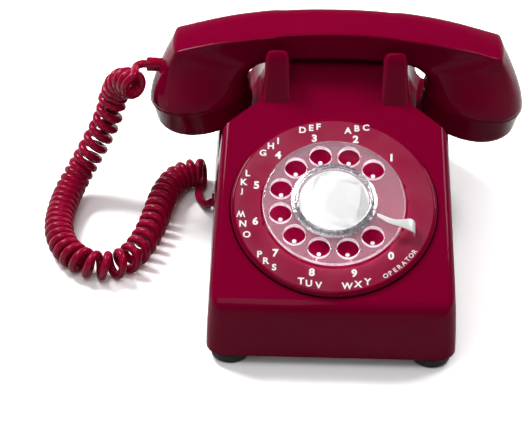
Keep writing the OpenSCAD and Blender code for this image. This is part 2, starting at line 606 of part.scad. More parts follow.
network_at = [-36, 54, floor_z];
network_size = [72, 42, 26];
module network_block() color([0.16, 0.14, 0.13]) difference() {
    translate(network_at) union() {
        cube(network_size);
        for (k = [0:7]) translate([3 + 9 * k, 2, network_size[2]]) cube([1, network_size[1] - 4, 2]);
    }
    network_terminals() translate([0, 0, -6]) cylinder(r = 1.2, h = 20);
}
module network_terminals() for (k = [0:6]) for (j = [0:1])
    translate(network_at + [8.1 + 9 * k, 9 + 24 * j, network_size[2]]) children();
module network_screws() color(brass) network_terminals() {
    translate([0, 0, -5]) cylinder(r = 1.18, h = 5.5);
    difference() {
        cylinder(r = 2.6, h = 1.6);
        translate([-3, -0.35, 0.8]) cube([6, 0.7, 2]);
    }
}
pivot_y = 42;
pivot_z = 94;
cheek_x = 20;
module hook_switch_bracket() color(zinc) difference() {
    union() {
        mirrored() translate([cheek_x, 36, floor_z]) cube([1.6, 12, 88]);
        mirrored() translate([cheek_x, 36, floor_z]) cube([10, 12, 1.6]);
        translate([-cheek_x, 46.4, 70]) cube([2 * cheek_x, 1.6, 20]);
    }
    translate([-50, pivot_y, pivot_z]) rotate([0, 90, 0]) cylinder(r = 1.5, h = 100);
}
module hook_switch_pivot() color(steel) translate([-24, pivot_y, pivot_z]) rotate([0, 90, 0])
    cylinder(r = 1.5, h = 48);
// A bail with an arm under each plunger
module hook_switch_lever() color(steel) difference() {
    union() {
        mirrored() translate([33, pivot_y - 3, pivot_z - 0.2]) cube([7, 32, 1.6]);
        mirrored() translate([22, pivot_y - 3, pivot_z - 0.2]) cube([12, 6, 1.6]);
        mirrored() translate([22, pivot_y - 3, pivot_z - 3]) cube([1.6, 6, 6]);
        translate([-33.5, 57, pivot_z - 0.2]) cube([67, 4, 1.6]);
        translate([-2, 57, pivot_z - 8]) cube([4, 1.6, 8]);
    }
    translate([-24.4, pivot_y, pivot_z]) rotate([0, 90, 0]) cylinder(r = 1.5 + fit, h = 48.8);
}
module hook_switch_contacts() color(brass) {
    for (k = [0:3]) translate([-9, 48, 72 + 3.4 * k]) cube([5, 26, 0.5]);
    for (k = [0:3]) translate([4, 48, 72 + 3.4 * k]) cube([5, 26, 0.5]);
    for (k = [0:4]) translate([-10, 48, 69.1 + 3.4 * k]) cube([20, 6, 2.9]);
}
module plunger() {
    translate([0, handset_y, 96]) cylinder(r = plunger_r, h = 13.6);
    translate([0, handset_y, 109.6]) cylinder(r1 = plunger_r, r2 = plunger_r - 1, h = 1.2);
    translate([0, handset_y, 97]) cylinder(r = 4.6, h = 1.4);
}
module plunger_left() color(black) translate([-plunger_x, 0, 0]) plunger();
module plunger_right() color(black) translate([plunger_x, 0, 0]) plunger();

// ---------------------------------------------------------------- cord fittings

inlet_z = 28;
rear_lean_a = atan(rear_lean / (saddle_z - skirt_z));
module at_inlet() translate([30, rear_at(inlet_z), inlet_z]) rotate([rear_lean_a - 90, 0, 0]) children();
module line_inlet() color(black) at_inlet() difference() {
    union() {
        translate([0, 0, -wall - 1.2]) cylinder(r = 5.95, h = wall + 2.2);
        translate([0, 0, -wall - 1.2]) cylinder(r = 7.5, h = 1.2);
        cylinder(r = 7.5, h = 1);
    }
    translate([0, 0, -10]) cylinder(r = 3, h = 20);
}
plug_top = floor_z + 8;
module base_cord_plug() color(cord_red) translate([-80.4, 32, floor_z]) difference() {
    cube([12, 8, 8]);
    translate([5, -1, 6.6]) cube([8, 10, 2]);
}

// ---------------------------------------------------------------- handset

function ridge_at(x) = ridge_z - ridge_drop * pow(x / 105, 2);
top_end = [end_x, ridge_at(end_x)];
end_curve = [top_end, top_end + [4, -8], seam_out + [-1.6, 16], seam_out];
grip_end = [bend_x, ridge_at(bend_x) - grip_h];
bend_curve = [grip_end, grip_end + [10.5, -2.4], seam_in + [1.2, 13], seam_in];
grip_rings = 6;
bend_rings = 13;
// The ridge's turn is reached after this share of the bend
turn_share = 6 / bend_rings;

// One ring through an outer and an inner point, from a square-shouldered grip to a round cup
function handset_ring(o, i, blend, half) =
    let (side = 7, d = i - o, l = norm(d),
        grip = concat([for (k = [-2:1]) [k / 2 * half, k * k < 4 ? -0.7 : 0]],
            [for (k = [0:side - 1]) let (t = k / side, s = t * l)
                [mix(half, under_half + 1, pow(t, 1.15)), s]],
            [[under_half - 0.8, l - 0.9], [under_half - 4, l], [0, l], [-under_half + 4, l],
            [-under_half + 0.8, l - 0.9]],
            [for (k = [side - 1:-1:1]) let (t = k / side, s = t * l)
                [-mix(half, under_half + 1, pow(t, 1.15)), s]]),
        n = len(grip),
        cup = [for (k = [0:n - 1]) let (a = k <= 4 ? ridge_a * (k - 2) / 2
                : k <= n / 2 + 1 ? mix(ridge_a, 180, (k - 4) / (n / 2 - 2))
                : mix(180, 360 - ridge_a, (k - n / 2 - 2) / (n / 2 - 2)))
            [l / 2 * sin(a), l / 2 - l / 2 * cos(a)]])
    [for (k = [0:n - 1]) let (p = mix(grip[k], cup[k], blend), q = o + d * p[1] / l)
        [q[0], handset_y + p[0], q[1]]];
function grip_ring(x) = handset_ring([x, ridge_at(x)], [x, ridge_at(x) - grip_h], 0,
    mix(ridge_half, ridge_half_end, abs(x) / 105));
function bend_ring(t) =
    let (x = mix(bend_x, end_x, min(t / turn_share, 1)),
        o = t <= turn_share ? [x, ridge_at(x)] : bezier(end_curve, (t - turn_share) / (1 - turn_share)),
        i = bezier(bend_curve, ease(t) * 0.35 + t * 0.65))
    handset_ring(o, i, ease((t - 0.12) / 0.88), ridge_half_end);
handset_half = concat([for (k = [0:grip_rings - 1]) grip_ring(bend_x * k / grip_rings)],
    [for (k = [0:bend_rings]) bend_ring(k / bend_rings)]);
function sided(ring, side) = [for (p = ring) [handset_x + side * p[0], p[1], p[2]]];
handset_rings = concat([for (k = [len(handset_half) - 1:-1:1]) sided(handset_half[k], -1)],
    [for (ring = handset_half) sided(ring, 1)]);

// The cap's frame of reference: its origin is at the seam's centre, +z points into the cup
module at_cap(side) translate([handset_x + side * cap_x, handset_y, cap_z])
    rotate([0, side * cap_tilt, 0]) children();
// The grommet's frame of reference: its outer end, with +z into the handset
module at_grommet() translate([grommet_x, handset_y, grommet_z]) rotate([0, 90, 0]) children();

module handset_body() color(cherry) difference() {
    union() {
        loft(handset_rings, true);
        for (s = [-1, 1]) at_cap(s) translate([0, 0, -neck_h])
            cylinder(r = neck_r, h = neck_h + 2, $fn = 64);
    }
    for (s = [-1, 1]) at_cap(s) {
        translate([0, 0, -neck_h - 1]) cylinder(r = neck_r - 2.6, h = neck_h + 13, $fn = 64);
        translate([0, 0, 11]) cylinder(r1 = neck_r - 2.6, r2 = neck_r - 12, h = 9, $fn = 64);
    }
    // The grommet's seat and bore
    at_grommet() {
        translate([0, 0, -4]) cylinder(r = grommet_r + fit, h = grommet_h + 4);
        cylinder(r = grommet_neck_r + fit, h = grommet_depth + 0.6);
    }
}
module cap(hole_rings) difference() {
    rotate_extrude($fn = 64) polygon(concat([[0, -cap_h], [cap_r - cap_edge - 1.4, -cap_h]],
        [for (a = [-80:20:0]) [cap_r - cap_edge - 1.4 + cap_edge * cos(a),
        -cap_h + cap_edge + cap_edge * sin(a)]],
        [[cap_r - 0.9, -3.4], [cap_r - 0.1, -1.2], [cap_r - 0.5, -0.3], [cap_r - 0.9, 0],
        [neck_r + 0.02, 0],
            [neck_r + 0.02, -neck_h - 0.4], [neck_r - 4, -cap_h + 3], [0, -cap_h + 2.2]]));
    for (k = [0:hole_rings]) for (j = [0:max(6 * k, 1) - 1]) rotate([0, 0, j * 360 / max(6 * k, 1)])
        translate([6.4 * k, 0, -cap_h - 1]) cylinder(r = 1.1, h = 5, $fn = 16);
}
module transmitter_cap() color(cherry_dark) at_cap(-1) cap(2);
module receiver_cap() color(cherry_dark) at_cap(1) cap(1);
module transmitter_unit() color(zinc) at_cap(-1) rotate_extrude()
    polygon([[0, 9], [14, 9], [15, 4], [26.7, 3],
    [26.7, -6.2], [25, -6.2], [24.6, -12], [22, -12], [21, -8], [0, -8]]);
module receiver_unit() color(zinc) at_cap(1) rotate_extrude()
    polygon([[0, 10], [11, 10], [12, 5], [26.7, 4],
    [26.7, -6.2], [25, -6.2], [24.6, -12], [22, -12], [21, -7], [0, -7]]);
module handset_grommet() color(cord_red) at_grommet() {
    cylinder(r = grommet_r, h = grommet_h);
    cylinder(r = grommet_neck_r, h = grommet_depth);
}

// ---------------------------------------------------------------- cord

module handset_tail() color(cord_red) tube(smooth(handset_route, 1), cord_d / 2, 8);
module curly_cord() color(cord_red) tube(smooth(curly_route, 2), curl_d / 2, 12);
module base_tail() color(cord_red) tube(smooth(base_route, 1), cord_d / 2, 8);

// ---------------------------------------------------------------- nodes

housing();
base_plate();
feet();
foot_rivets();
housing_screws();
number_plate();
dial_frame();
dial_bracket();
dial_rear_bridge();
finger_stop();
finger_wheel();
number_card();
card_cover();
card_retainer();
dial_shaft();
main_gear();
return_spring();
intermediate_gear();
governor_rotor();
governor_cup();
pulse_contacts();
ringer_frame();
ringer_coils();
ringer_magnet();
clapper();
gong_low();
gong_high();
gong_posts();
volume_wheel();
volume_wheel_bracket();
network_block();
network_screws();
hook_switch_bracket();
hook_switch_lever();
hook_switch_pivot();
hook_switch_contacts();
plunger_left();
plunger_right();
line_inlet();
base_cord_plug();
handset_body();
transmitter_cap();
receiver_cap();
transmitter_unit();
receiver_unit();
handset_grommet();
handset_tail();
curly_cord();
base_tail();
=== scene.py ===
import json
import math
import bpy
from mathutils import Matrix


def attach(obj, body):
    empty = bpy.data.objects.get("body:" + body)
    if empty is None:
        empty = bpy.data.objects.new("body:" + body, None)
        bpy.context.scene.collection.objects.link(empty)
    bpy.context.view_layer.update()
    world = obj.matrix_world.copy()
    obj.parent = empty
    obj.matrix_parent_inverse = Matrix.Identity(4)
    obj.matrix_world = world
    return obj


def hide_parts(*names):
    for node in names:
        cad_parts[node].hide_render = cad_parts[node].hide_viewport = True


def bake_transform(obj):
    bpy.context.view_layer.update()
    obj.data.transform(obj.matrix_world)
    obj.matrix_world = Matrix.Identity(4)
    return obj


bl_info = {
    "name": "Rotary Telephone",
    "version": (1, 0, 0),
    "blender": (4, 0, 0),
    "location": "View3D > Sidebar > Telephone",
    "description": "Dresses the parts of a rotary desk telephone and lays out its stage",
    "category": "Object",
}

import bmesh
import bpy
from bpy.props import FloatProperty, FloatVectorProperty, IntProperty, PointerProperty
from bpy.types import Operator, Panel, PropertyGroup
from mathutils import Euler, Matrix, Vector

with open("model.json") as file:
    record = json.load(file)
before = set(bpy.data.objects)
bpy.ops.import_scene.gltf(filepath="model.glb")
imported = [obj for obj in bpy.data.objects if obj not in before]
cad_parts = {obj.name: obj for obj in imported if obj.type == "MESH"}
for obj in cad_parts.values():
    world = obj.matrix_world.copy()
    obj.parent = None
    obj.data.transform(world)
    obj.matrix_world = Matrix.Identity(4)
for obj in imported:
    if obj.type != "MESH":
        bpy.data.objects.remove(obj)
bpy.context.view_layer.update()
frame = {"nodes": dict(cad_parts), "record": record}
MM = 0.001

# ---------------------------------------------------------------- places shared by the pieces

FACE_SLOPE = math.radians(22)
FACE_FRONT, FACE_FOOT, DIAL_UP = -114, 43, 74  # the face's lower edge, and how far up it the dial sits
DIAL_CENTRE = Vector((0, FACE_FRONT + DIAL_UP * math.cos(FACE_SLOPE),
                      FACE_FOOT + DIAL_UP * math.sin(FACE_SLOPE))) * MM
DIAL = Matrix.Translation(DIAL_CENTRE) @ Matrix.Rotation(FACE_SLOPE, 4, "X")
PLATE_TOP = 3.0
WELL_FLOOR = -1.5
WELL_RADIUS = 45.6
FINGER_CIRCLE = 34.4
STOP_HEIGHT = 10.7
# The finger stop's cross-rows: distance out, its two sides, how far it has sunk, and its crown
STOP_ROWS = [(26.6, -9.5, -11.9, 0.2, 0.15), (29, -10.5, -13.6, 0, 0.2), (32, -11.8, -15.6, 0, 0.3),
             (35, -13, -17.1, 0, 0.4), (38, -13.8, -18.1, 0, 0.5), (41, -13.9, -18.9, 0, 0.5),
             (44, -13.4, -20.2, 0, 0.5), (46.5, -12.9, -21.4, 0.1, 0.5), (48.4, -13, -21.9, 0.6, 0.5),
             (49.8, -13.4, -22, 1.8, 0.4), (50.5, -13.9, -21.9, 3.6, 0.3), (50.7, -14.4, -21.7, 6.2, 0.2),
             (50.7, -14.8, -21.4, 9.6, 0.1)]
# The front horns of the housing's copy: where they stand, and how they are made lower and blunter
HORN_FOOT, HORN_TIP, HORN_SHARE, HORN_MIDDLE = 100.0, 131.0, 0.885, 37.6
HORN_IN, HORN_OUT, HORN_FRONT, HORN_BACK, HORN_WIDER = 28, 48, 40, 58, 0.14
# The front screw boss, which is kept under the face
BOSS_HALF, BOSS_FRONT, BOSS_BACK, BOSS_SLACK, BOSS_SUNK = 5, -109, -103, 0.02, 0.3
# The cord plug's copy: the point it shrinks about, and what is left of it along and across
PLUG_PLACE, PLUG_SHARE = Vector((-68.4, 36, 11.6)), (0.87, 0.8, 0.8)
GROMMET_PLACE = Vector((-122.6, 66, 99.5))
HANDSET_Y = 66.0
HANDSET_X = 1.2
CAP_X, CAP_Z, CAP_TILT = 89.2, 84.3, math.radians(13)

# The cord's route in millimetres: from the handset, along the curl's axis, and to the plug
HANDSET_TAIL = [(-122.8, 66, 99.5), (-125, 66, 99.5), (-127.1, 65.1, 99.6), (-128.7, 63, 99.8),
                (-129.6, 60, 100), (-129.6, 56.4, 100.6), (-129.6, 52.9, 101)]
CURL_AXIS = [
    (-129.2, 49.5, 92.9), (-131.9, 54, 92.1), (-135, 58.6, 90.2), (-138.4, 62.8, 86.9), (-141.2, 66, 81.8),
    (-143.2, 67.6, 76.1), (-145, 67.4, 70.3), (-146.9, 65.6, 61.5), (-150.6, 64.4, 51), (-155.9, 62.1, 39.8),
    (-162, 58.9, 28.2), (-168.2, 53.4, 18.2), (-173.6, 41.5, 12.1), (-176.7, 24.1, 10.4), (-177.2, 6.9, 10.4),
    (-174, -9.5, 10.4), (-166.2, -23, 10.4), (-154.5, -31.8, 10.4), (-141.5, -32.8, 10.4), (-131, -26.2, 10.4),
    (-123.3, -12.1, 10.4), (-117.5, 6.9, 10.4), (-114, 25.9, 10.4), (-110.6, 43, 10.4), (-106, 56.4, 10.4),
    (-100.6, 64, 10.4), (-94.8, 68, 10.4), (-89, 69.4, 10.4), (-85.6, 69.3, 10.4)]
BASE_TAIL = [(-87.8, 60, 3.2), (-88, 55, 3.2), (-86.8, 50, 3.2), (-85, 45.2, 3.6), (-83, 40.9, 5.4),
             (-81, 37.7, 8.4), (-78.6, 36, 11.4)]
# How far apart the turns lie at shares of the curl's length, in millimetres
CURL_PITCH = [(0, 5.9), (0.1, 6.3), (0.13, 8.0), (0.22, 8.1), (0.27, 6.0), (0.32, 5.65), (0.45, 5.65),
              (0.52, 6.6), (0.58, 8.6), (0.66, 9.4), (0.78, 8.8), (0.86, 7.8), (0.92, 6.2), (1, 5.65)]
CURL_START = math.radians(118)
# Points along the curl's axis and its two straight ends, and how far those ends run on before they turn
AXIS_STEPS, LEAD_STEPS, OUT_STEPS, LEAD_RUN, OUT_RUN = 1600, 26, 30, 2.4, 4


# ---------------------------------------------------------------- sizes and colours

def colour(name, text, value):
    return FloatVectorProperty(name=name, description=text, default=value, subtype="COLOR", size=3, min=0, max=1)


def length(name, text, value, low, high):
    return FloatProperty(name=name, description=text, default=value * MM, min=low * MM, max=high * MM,
                         subtype="DISTANCE", unit="LENGTH")


class PHONE_PG_colours(PropertyGroup):
    moulding: colour("Moulding", "Colour of the housing, handset and number plate", (0.222, 0.0003, 0.026))
    cord: colour("Cord", "Colour of the curly cord and its fittings", (0.37, 0.0006, 0.036))
    lettering: colour("Lettering", "Colour of the printed figures", (1.0, 0.99, 0.99))
    wheel: colour("Wheel", "Tint of the clear finger wheel", (0.95, 0.79, 0.89))
    card: colour("Card", "Colour of the number card", (1.0, 1.0, 1.0))


class PHONE_PG_plate(PropertyGroup):
    tint: colour("Plate", "Colour of the number plate under its satin sheen", (0.31, 0.0006, 0.042))


class PHONE_PG_cord(PropertyGroup):
    diameter: length("Diameter", "Diameter of the cord", 5.5, 4.8, 5.6)
    curl: length("Curl", "Outer diameter of the curl", 19.6, 17, 20)
    steps: IntProperty(name="Steps", description="Points along each turn of the curl", default=22, min=12, max=40)


class PHONE_PG_lettering(PropertyGroup):
    figure: length("Figures", "Height of the figures on the number plate", 5.6, 4, 8)
    letter: length("Letters", "Height of the letters on the number plate", 4.7, 3, 7)
    word: length("Word", "Height of the word beside the last figure", 3.1, 2, 5)


class PHONE_PG_stage(PropertyGroup):
    floor: colour("Floor", "Colour of the floor", (0.96, 0.96, 0.965))
    key: FloatProperty(name="Key", description="Power of the broad lamps behind", default=17.0, min=0, unit="POWER")
    fill: FloatProperty(name="Fill", description="Power of the lamp beside the camera", default=3.8, min=0,
                        unit="POWER")
    sky: FloatProperty(name="Sky", description="Strength of the plain light all round", default=0.28, min=0, max=2)


# ---------------------------------------------------------------- shader kit

class Value:
    """A shader socket on which plain arithmetic adds Math nodes."""

    def __init__(self, recipe, socket):
        self.recipe, self.socket = recipe, socket

    def maths(self, operation, *values, clamp=False):
        node = self.recipe.add("ShaderNodeMath", {"operation": operation, "use_clamp": clamp}, dict(enumerate(values)))
        return node["Value"]

    def __add__(self, other):
        return self.maths("ADD", self, other)

    def __sub__(self, other):
        return self.maths("SUBTRACT", self, other)

    def __rsub__(self, other):
        return self.maths("SUBTRACT", other, self)

    def __mul__(self, other):
        return self.maths("MULTIPLY", self, other)

    def __truediv__(self, other):
        return self.maths("DIVIDE", self, other)

    def __pow__(self, other):
        return self.maths("POWER", self, other)

    def clamped(self):
        return self.maths("ADD", self, 0, clamp=True)

    __radd__ = __add__
    __rmul__ = __mul__


class Placed:
    """A node in a recipe; its outputs are read by name."""

    def __init__(self, recipe, node):
        self.recipe, self.node = recipe, node

    def __getitem__(self, name):
        return Value(self.recipe, self.node.outputs[name])


class Recipe:
    """A material, or another owner of shader nodes, being put together."""

    def __init__(self, name, owner=None):
        self.owner = owner or bpy.data.materials.new(name)
        self.owner.use_nodes = True
        self.tree = self.owner.node_tree
        self.tree.nodes.clear()

    def add(self, kind, settings=None, sockets=None):
        node = self.tree.nodes.new(kind)
        for name, setting in (settings or {}).items():
            if name == "stops":
                ramp = node.color_ramp
                while len(ramp.elements) < len(setting):
                    ramp.elements.new(0.5)
                for element, (position, shade) in zip(ramp.elements, setting):
                    element.position = position
                    element.color = (shade,) * 3 + (1,) if isinstance(shade, (int, float)) else (*shade, 1)
            else:
                setattr(node, name, setting)
        for name, value in (sockets or {}).items():
            socket = node.inputs[name]
            if isinstance(value, Value):
                self.tree.links.new(value.socket, socket)
            elif isinstance(value, (int, float)):
                socket.default_value = value
            else:
                value = tuple(value)
                socket.default_value = value + (1,) if len(socket.default_value) == 4 > len(value) else value
        return Placed(self, node)

    def place(self, scale=(1, 1, 1)):
        where = self.add("ShaderNodeTexCoord")["Object"]
        if scale == (1, 1, 1):
            return where
        return self.add("ShaderNodeMapping", {}, {"Vector": where, "Scale": scale})["Vector"]

    def noise(self, scale, detail=3.0, rough=0.55, where=None, distort=0.0):
        return self.add("ShaderNodeTexNoise", {}, {
            "Vector": where or self.place(), "Scale": scale, "Detail": detail, "Roughness": rough,
            "Distortion": distort})["Fac"]

    def between(self, value, low, high, from_low=0.3, from_high=0.7):
        return self.add("ShaderNodeMapRange", {}, {
            "Value": value, "From Min": from_low, "From Max": from_high, "To Min": low, "To Max": high})["Result"]

    def blend(self, share, first, second):
        mix = self.add("ShaderNodeMix", {"data_type": "RGBA"}, {0: share, 6: first, 7: second})
        return Value(self, mix.node.outputs[2])

    def bump(self, height, strength, distance, normal=None):
        sockets = {"Height": height, "Strength": strength, "Distance": distance}
        if normal:
            sockets["Normal"] = normal
        return self.add("ShaderNodeBump", {}, sockets)["Normal"]

    def finish(self, **sockets):
        names = {key: {"base": "Base Color", "coat": "Coat Weight", "coat_rough": "Coat Roughness",
                       "transmission": "Transmission Weight", "ior": "IOR", "specular": "Specular IOR Level",
                       "sheen": "Sheen Weight", "anisotropic": "Anisotropic",
                       "subsurface": "Subsurface Weight"}.get(key, key.capitalize()) for key in sockets}
        shader = self.add("ShaderNodeBsdfPrincipled", {}, {names[key]: value for key, value in sockets.items()})
        self.show(shader["BSDF"])
        return self.owner

    def either(self, share, first, second):
        """Two shaders mixed by a share."""
        mix = self.add("ShaderNodeMixShader", {}, {0: share, 1: first, 2: second})
        return Value(self, mix.node.outputs[0])

    def show(self, surface):
        kind = "ShaderNodeOutputWorld" if isinstance(self.owner, bpy.types.World) else "ShaderNodeOutputMaterial"
        self.add(kind, {}, {"Surface": surface})


def shade(tint, factor):
    return tuple(min(1, c * factor) for c in tint)


def glossy_moulding(name, tint, rough=0.075, specular=0.06):
    """Hard glossy plastic: a faint flow in the colour, handling haze and a slight ripple in the skin."""
    r = Recipe(name)
    flow = r.noise(9, 4, 0.6, distort=0.4)
    haze = r.noise(38, 6, 0.65)
    specks = r.noise(900, 2, 0.5)
    base = r.blend(r.between(flow, 0, 1), shade(tint, 0.94), shade(tint, 1.06))
    base = r.blend(r.between(specks, 0, 0.12, 0.62, 0.75), base, shade(tint, 0.55))
    scratch = r.noise(60, 8, 0.7, where=r.place((1, 14, 3)))
    roughness = r.between(haze, rough * 0.75, rough * 1.5) + r.between(scratch, 0, 0.04, 0.55, 0.75)
    ripple = r.bump(r.noise(55, 2, 0.4), 0.05, 0.0006)
    skin = r.bump(r.noise(1400, 2, 0.5), 0.04, 0.00008, ripple)
    return r.finish(base=base, roughness=roughness, normal=skin, ior=1.5, specular=specular)


def cord_vinyl(name, tint):
    """Softer vinyl with a fine extruded grain and a tone that varies a little from place to place."""
    r = Recipe(name)
    tone = r.noise(45, 4, 0.6)
    grain = r.noise(700, 3, 0.5)
    base = r.blend(r.between(tone, 0, 1), shade(tint, 0.85), shade(tint, 1.12))
    return r.finish(base=base, roughness=r.between(grain, 0.13, 0.22), normal=r.bump(grain, 0.08, 0.0001),
                    ior=1.5, specular=0.2)


def clear_plastic(name, tint):
    """Clear acrylic with handling haze and fine scuffs."""
    r = Recipe(name)
    haze = r.noise(60, 5, 0.65)
    scuff = r.noise(300, 6, 0.7, where=r.place((1, 6, 1)))
    base = r.blend(r.between(haze, 0, 1), shade(tint, 0.97), tint)
    return r.finish(base=base, roughness=r.between(haze, 0.036, 0.108),
                    normal=r.bump(scuff, 0.03, 0.00005), ior=1.47, transmission=0.9)


def cover_film(name, tint):
    """A thin clear cover over the card: the light passes it unbent, and only its gloss shows."""
    r = Recipe(name)
    haze = r.noise(60, 5, 0.65)
    return r.finish(base=r.blend(r.between(haze, 0, 1), shade(tint, 0.97), tint), alpha=0.1,
                    roughness=r.between(haze, 0.05, 0.1), normal=r.bump(haze, 0.03, 0.0001), ior=1.49)


def painted_glow_edge(name, tint):
    """The cut edges of clear acrylic: a whitened colour and a painted glow (emission) stand in for the light that such
    edges carry in from the faces.
    """
    r = Recipe(name)
    streak = r.noise(240, 4, 0.6, where=r.place((1, 1, 4)))
    # Painted glow: streaked emission that lights the edges, though they are no lamp.
    glow = r.blend(r.between(streak, 0, 1, 0.35, 0.65), shade(tint, 0.25), shade(tint, 1.05))
    shader = r.add("ShaderNodeBsdfPrincipled", {}, {
        # Painted highlight: the same streaks whiten the edges' colour towards white.
        "Base Color": r.blend(streak, shade(tint, 0.8), (1, 0.98, 0.99)), "Roughness": r.between(streak, 0.1, 0.3),
        "Transmission Weight": 0.3, "IOR": 1.47, "Emission Color": glow, "Emission Strength": 0.55})
    r.show(shader["BSDF"])
    return r.owner


def crazed_ring(name, tint):
    """Bright plated plastic with a crazed, mottled skin."""
    r = Recipe(name)
    cells = r.noise(420, 4, 0.7, distort=0.8)
    patch = r.noise(90, 4, 0.6)
    base = r.blend(r.between(cells, 0, 1, 0.4, 0.6), shade(tint, 0.55), shade(tint, 1.15))
    return r.finish(base=base, metallic=0.75, roughness=r.between(patch, 0.14, 0.34),
                    normal=r.bump(cells, 0.5, 0.0005))


def paper_card(name, tint):
    r = Recipe(name)
    fibre = r.noise(1800, 5, 0.7, where=r.place((1, 3, 1)))
    base = r.blend(r.between(r.noise(50, 3, 0.6), 0, 1), shade(tint, 0.975), tint)
    return r.finish(base=base, roughness=r.between(fibre, 0.5, 0.68), normal=r.bump(fibre, 0.12, 0.00006))


def printed_paint(name, tint):
    r = Recipe(name)
    grain = r.noise(1300, 3, 0.6)
    base = r.blend(r.between(grain, 0, 1), shade(tint, 0.93), tint)
    return r.finish(base=base, roughness=r.between(grain, 0.38, 0.55), normal=r.bump(grain, 0.08, 0.00005))


def worked_metal(name, tint, rough, grain_scale=(1, 1, 1), spangle=0.0, metallic=1.0):
    """Metal with a drawn or spangled grain, uneven plating and fine scratches."""
    r = Recipe(name)
    drawn = r.noise(500, 5, 0.65, where=r.place(grain_scale))
    patch = r.noise(70, 4, 0.6)
    base = r.blend(r.between(patch, 0, 1), shade(tint, 0.88), shade(tint, 1.06))
    if spangle:
        cells = r.add("ShaderNodeTexVoronoi", {}, {"Vector": r.place(), "Scale": 190})["Distance"]
        base = r.blend(r.between(cells, 0, spangle, 0, 1), base, shade(tint, 0.7))
    roughness = r.between(drawn, rough * 0.75, rough * 1.35) + r.between(patch, 0, rough * 0.3)
    return r.finish(base=base, metallic=metallic, roughness=roughness, normal=r.bump(drawn, 0.06, 0.00005))


def black_rubber(name, tint):
    r = Recipe(name)
    grain = r.noise(900, 4, 0.6)
    dust = r.noise(60, 5, 0.65)
    base = r.blend(r.between(dust, 0, 0.5, 0.5, 0.8), tint, (0.12, 0.11, 0.11))
    return r.finish(base=base, roughness=r.between(grain, 0.6, 0.8), normal=r.bump(grain, 0.25, 0.0002))


def satin_plastic(name, tint):
    r = Recipe(name)
    grain = r.noise(1500, 3, 0.6)
    base = r.blend(r.between(r.noise(40, 4), 0, 1), shade(tint, 0.85), shade(tint, 1.15))
    return r.finish(base=base, roughness=r.between(grain, 0.34, 0.5), normal=r.bump(grain, 0.12, 0.0001))


def wound_tape(name, tint):
    """Varnished cloth tape wound round the coils."""
    r = Recipe(name)
    bands = r.add("ShaderNodeTexWave", {"bands_direction": "Y"}, {
        "Vector": r.place(), "Scale": 110, "Distortion": 0.6, "Detail": 2})["Fac"]
    base = r.blend(bands, shade(tint, 0.75), shade(tint, 1.2))
    weave = r.noise(2200, 2, 0.5)
    return r.finish(base=base, roughness=r.between(weave, 0.4, 0.6), normal=r.bump(bands, 0.3, 0.0003))


FINISHES = {}


def finish_of(slot):
    """The material of a record slot, made once."""
    if slot not in FINISHES:
        c = bpy.context.scene.phone_colours
        makers = {
            "cherry_plastic": lambda n: glossy_moulding(n, c.moulding),
            "cap_plastic": lambda n: glossy_moulding(n, shade(c.moulding, 0.9), 0.09),
            "cord_vinyl": lambda n: cord_vinyl(n, c.cord),
            "clear_plastic": lambda n: clear_plastic(n, c.wheel),
            "card": lambda n: paper_card(n, c.card),
            "bright_steel": lambda n: worked_metal(n, (0.93, 0.94, 0.94), 0.36, (1, 8, 1)),
            "plated_steel": lambda n: worked_metal(n, (0.55, 0.55, 0.53), 0.34, spangle=0.5),
            "brass": lambda n: worked_metal(n, (0.72, 0.53, 0.24), 0.26, (1, 1, 6)),
            "black_rubber": lambda n: black_rubber(n, (0.022, 0.021, 0.021)),
            "black_plastic": lambda n: satin_plastic(n, (0.035, 0.034, 0.034)),
            "coil_tape": lambda n: wound_tape(n, (0.30, 0.11, 0.05)),
            "lettering": lambda n: printed_paint(n, c.lettering),
        }
        FINISHES[slot] = makers[slot]("Finish_" + slot)
    return FINISHES[slot]


# ---------------------------------------------------------------- mesh kit

SLOT_OF = {s["node"]: s["material_slot"] for s in frame["record"]["subparts"]}


def piece_from(bm, name, body, slot, *nodes, angle=35, width=0.0, segments=2, levels=0):
    """A finished piece from a bmesh whose points are already in place, in metres."""
    bm.normal_update()
    limit = math.radians(angle)
    for face in bm.faces:
        face.smooth = True
    for edge in bm.edges:
        edge.smooth = not (len(edge.link_faces) == 2 and edge.calc_face_angle(0) > limit)
    mesh = bpy.data.meshes.new(name)
    bm.to_mesh(mesh)
    bm.free()
    obj = bpy.data.objects.new(name, mesh)
    bpy.context.scene.collection.objects.link(obj)
    if slot:
        obj.data.materials.append(finish_of(slot))
    if width:
        edge = obj.modifiers.new("Soft edges", "BEVEL")
        edge.width, edge.segments, edge.limit_method = width * MM, segments, "ANGLE"
        edge.angle_limit, edge.use_clamp_overlap, edge.harden_normals = math.radians(38), True, False
    if levels:
        smooth = obj.modifiers.new("Smooth skin", "SUBSURF")
        smooth.levels = smooth.render_levels = levels
    if body:
        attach(obj, body)
    if nodes:
        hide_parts(*nodes)
    return obj


def hold_skin(obj):
    """Moves a subdivided piece's points until its smooth skin passes through where they began."""
    mesh = obj.data
    wanted = [v.co.copy() for v in mesh.vertices]
    for _ in range(4):
        graph = bpy.context.evaluated_depsgraph_get()
        skin = obj.evaluated_get(graph).data.vertices
        steps = [want - skin[i].co for i, want in enumerate(wanted)]
        for vertex, step in zip(mesh.vertices, steps):
            vertex.co += step * 0.9
        mesh.update()


def body_of(node):
    return next(b for b, members in frame["record"]["behaviour"]["bodies"].items() if node in members)


def merged_copy(node):
    """A solid's mesh with its points joined and its flat faces whole."""
    bm = bmesh.new()
    bm.from_mesh(frame["nodes"][node].data)
    bmesh.ops.remove_doubles(bm, verts=bm.verts, dist=2e-6)
    bmesh.ops.dissolve_limit(bm, angle_limit=math.radians(0.6), verts=bm.verts, edges=bm.edges)
    return bm


def dressed_copy(node, name, angle=32, width=0.25, segments=2):
    """A cleaned, softly edged copy of a solid, in place of it."""
    return piece_from(merged_copy(node), name, body_of(node), SLOT_OF[node], node, angle=angle, width=width,
                      segments=segments)


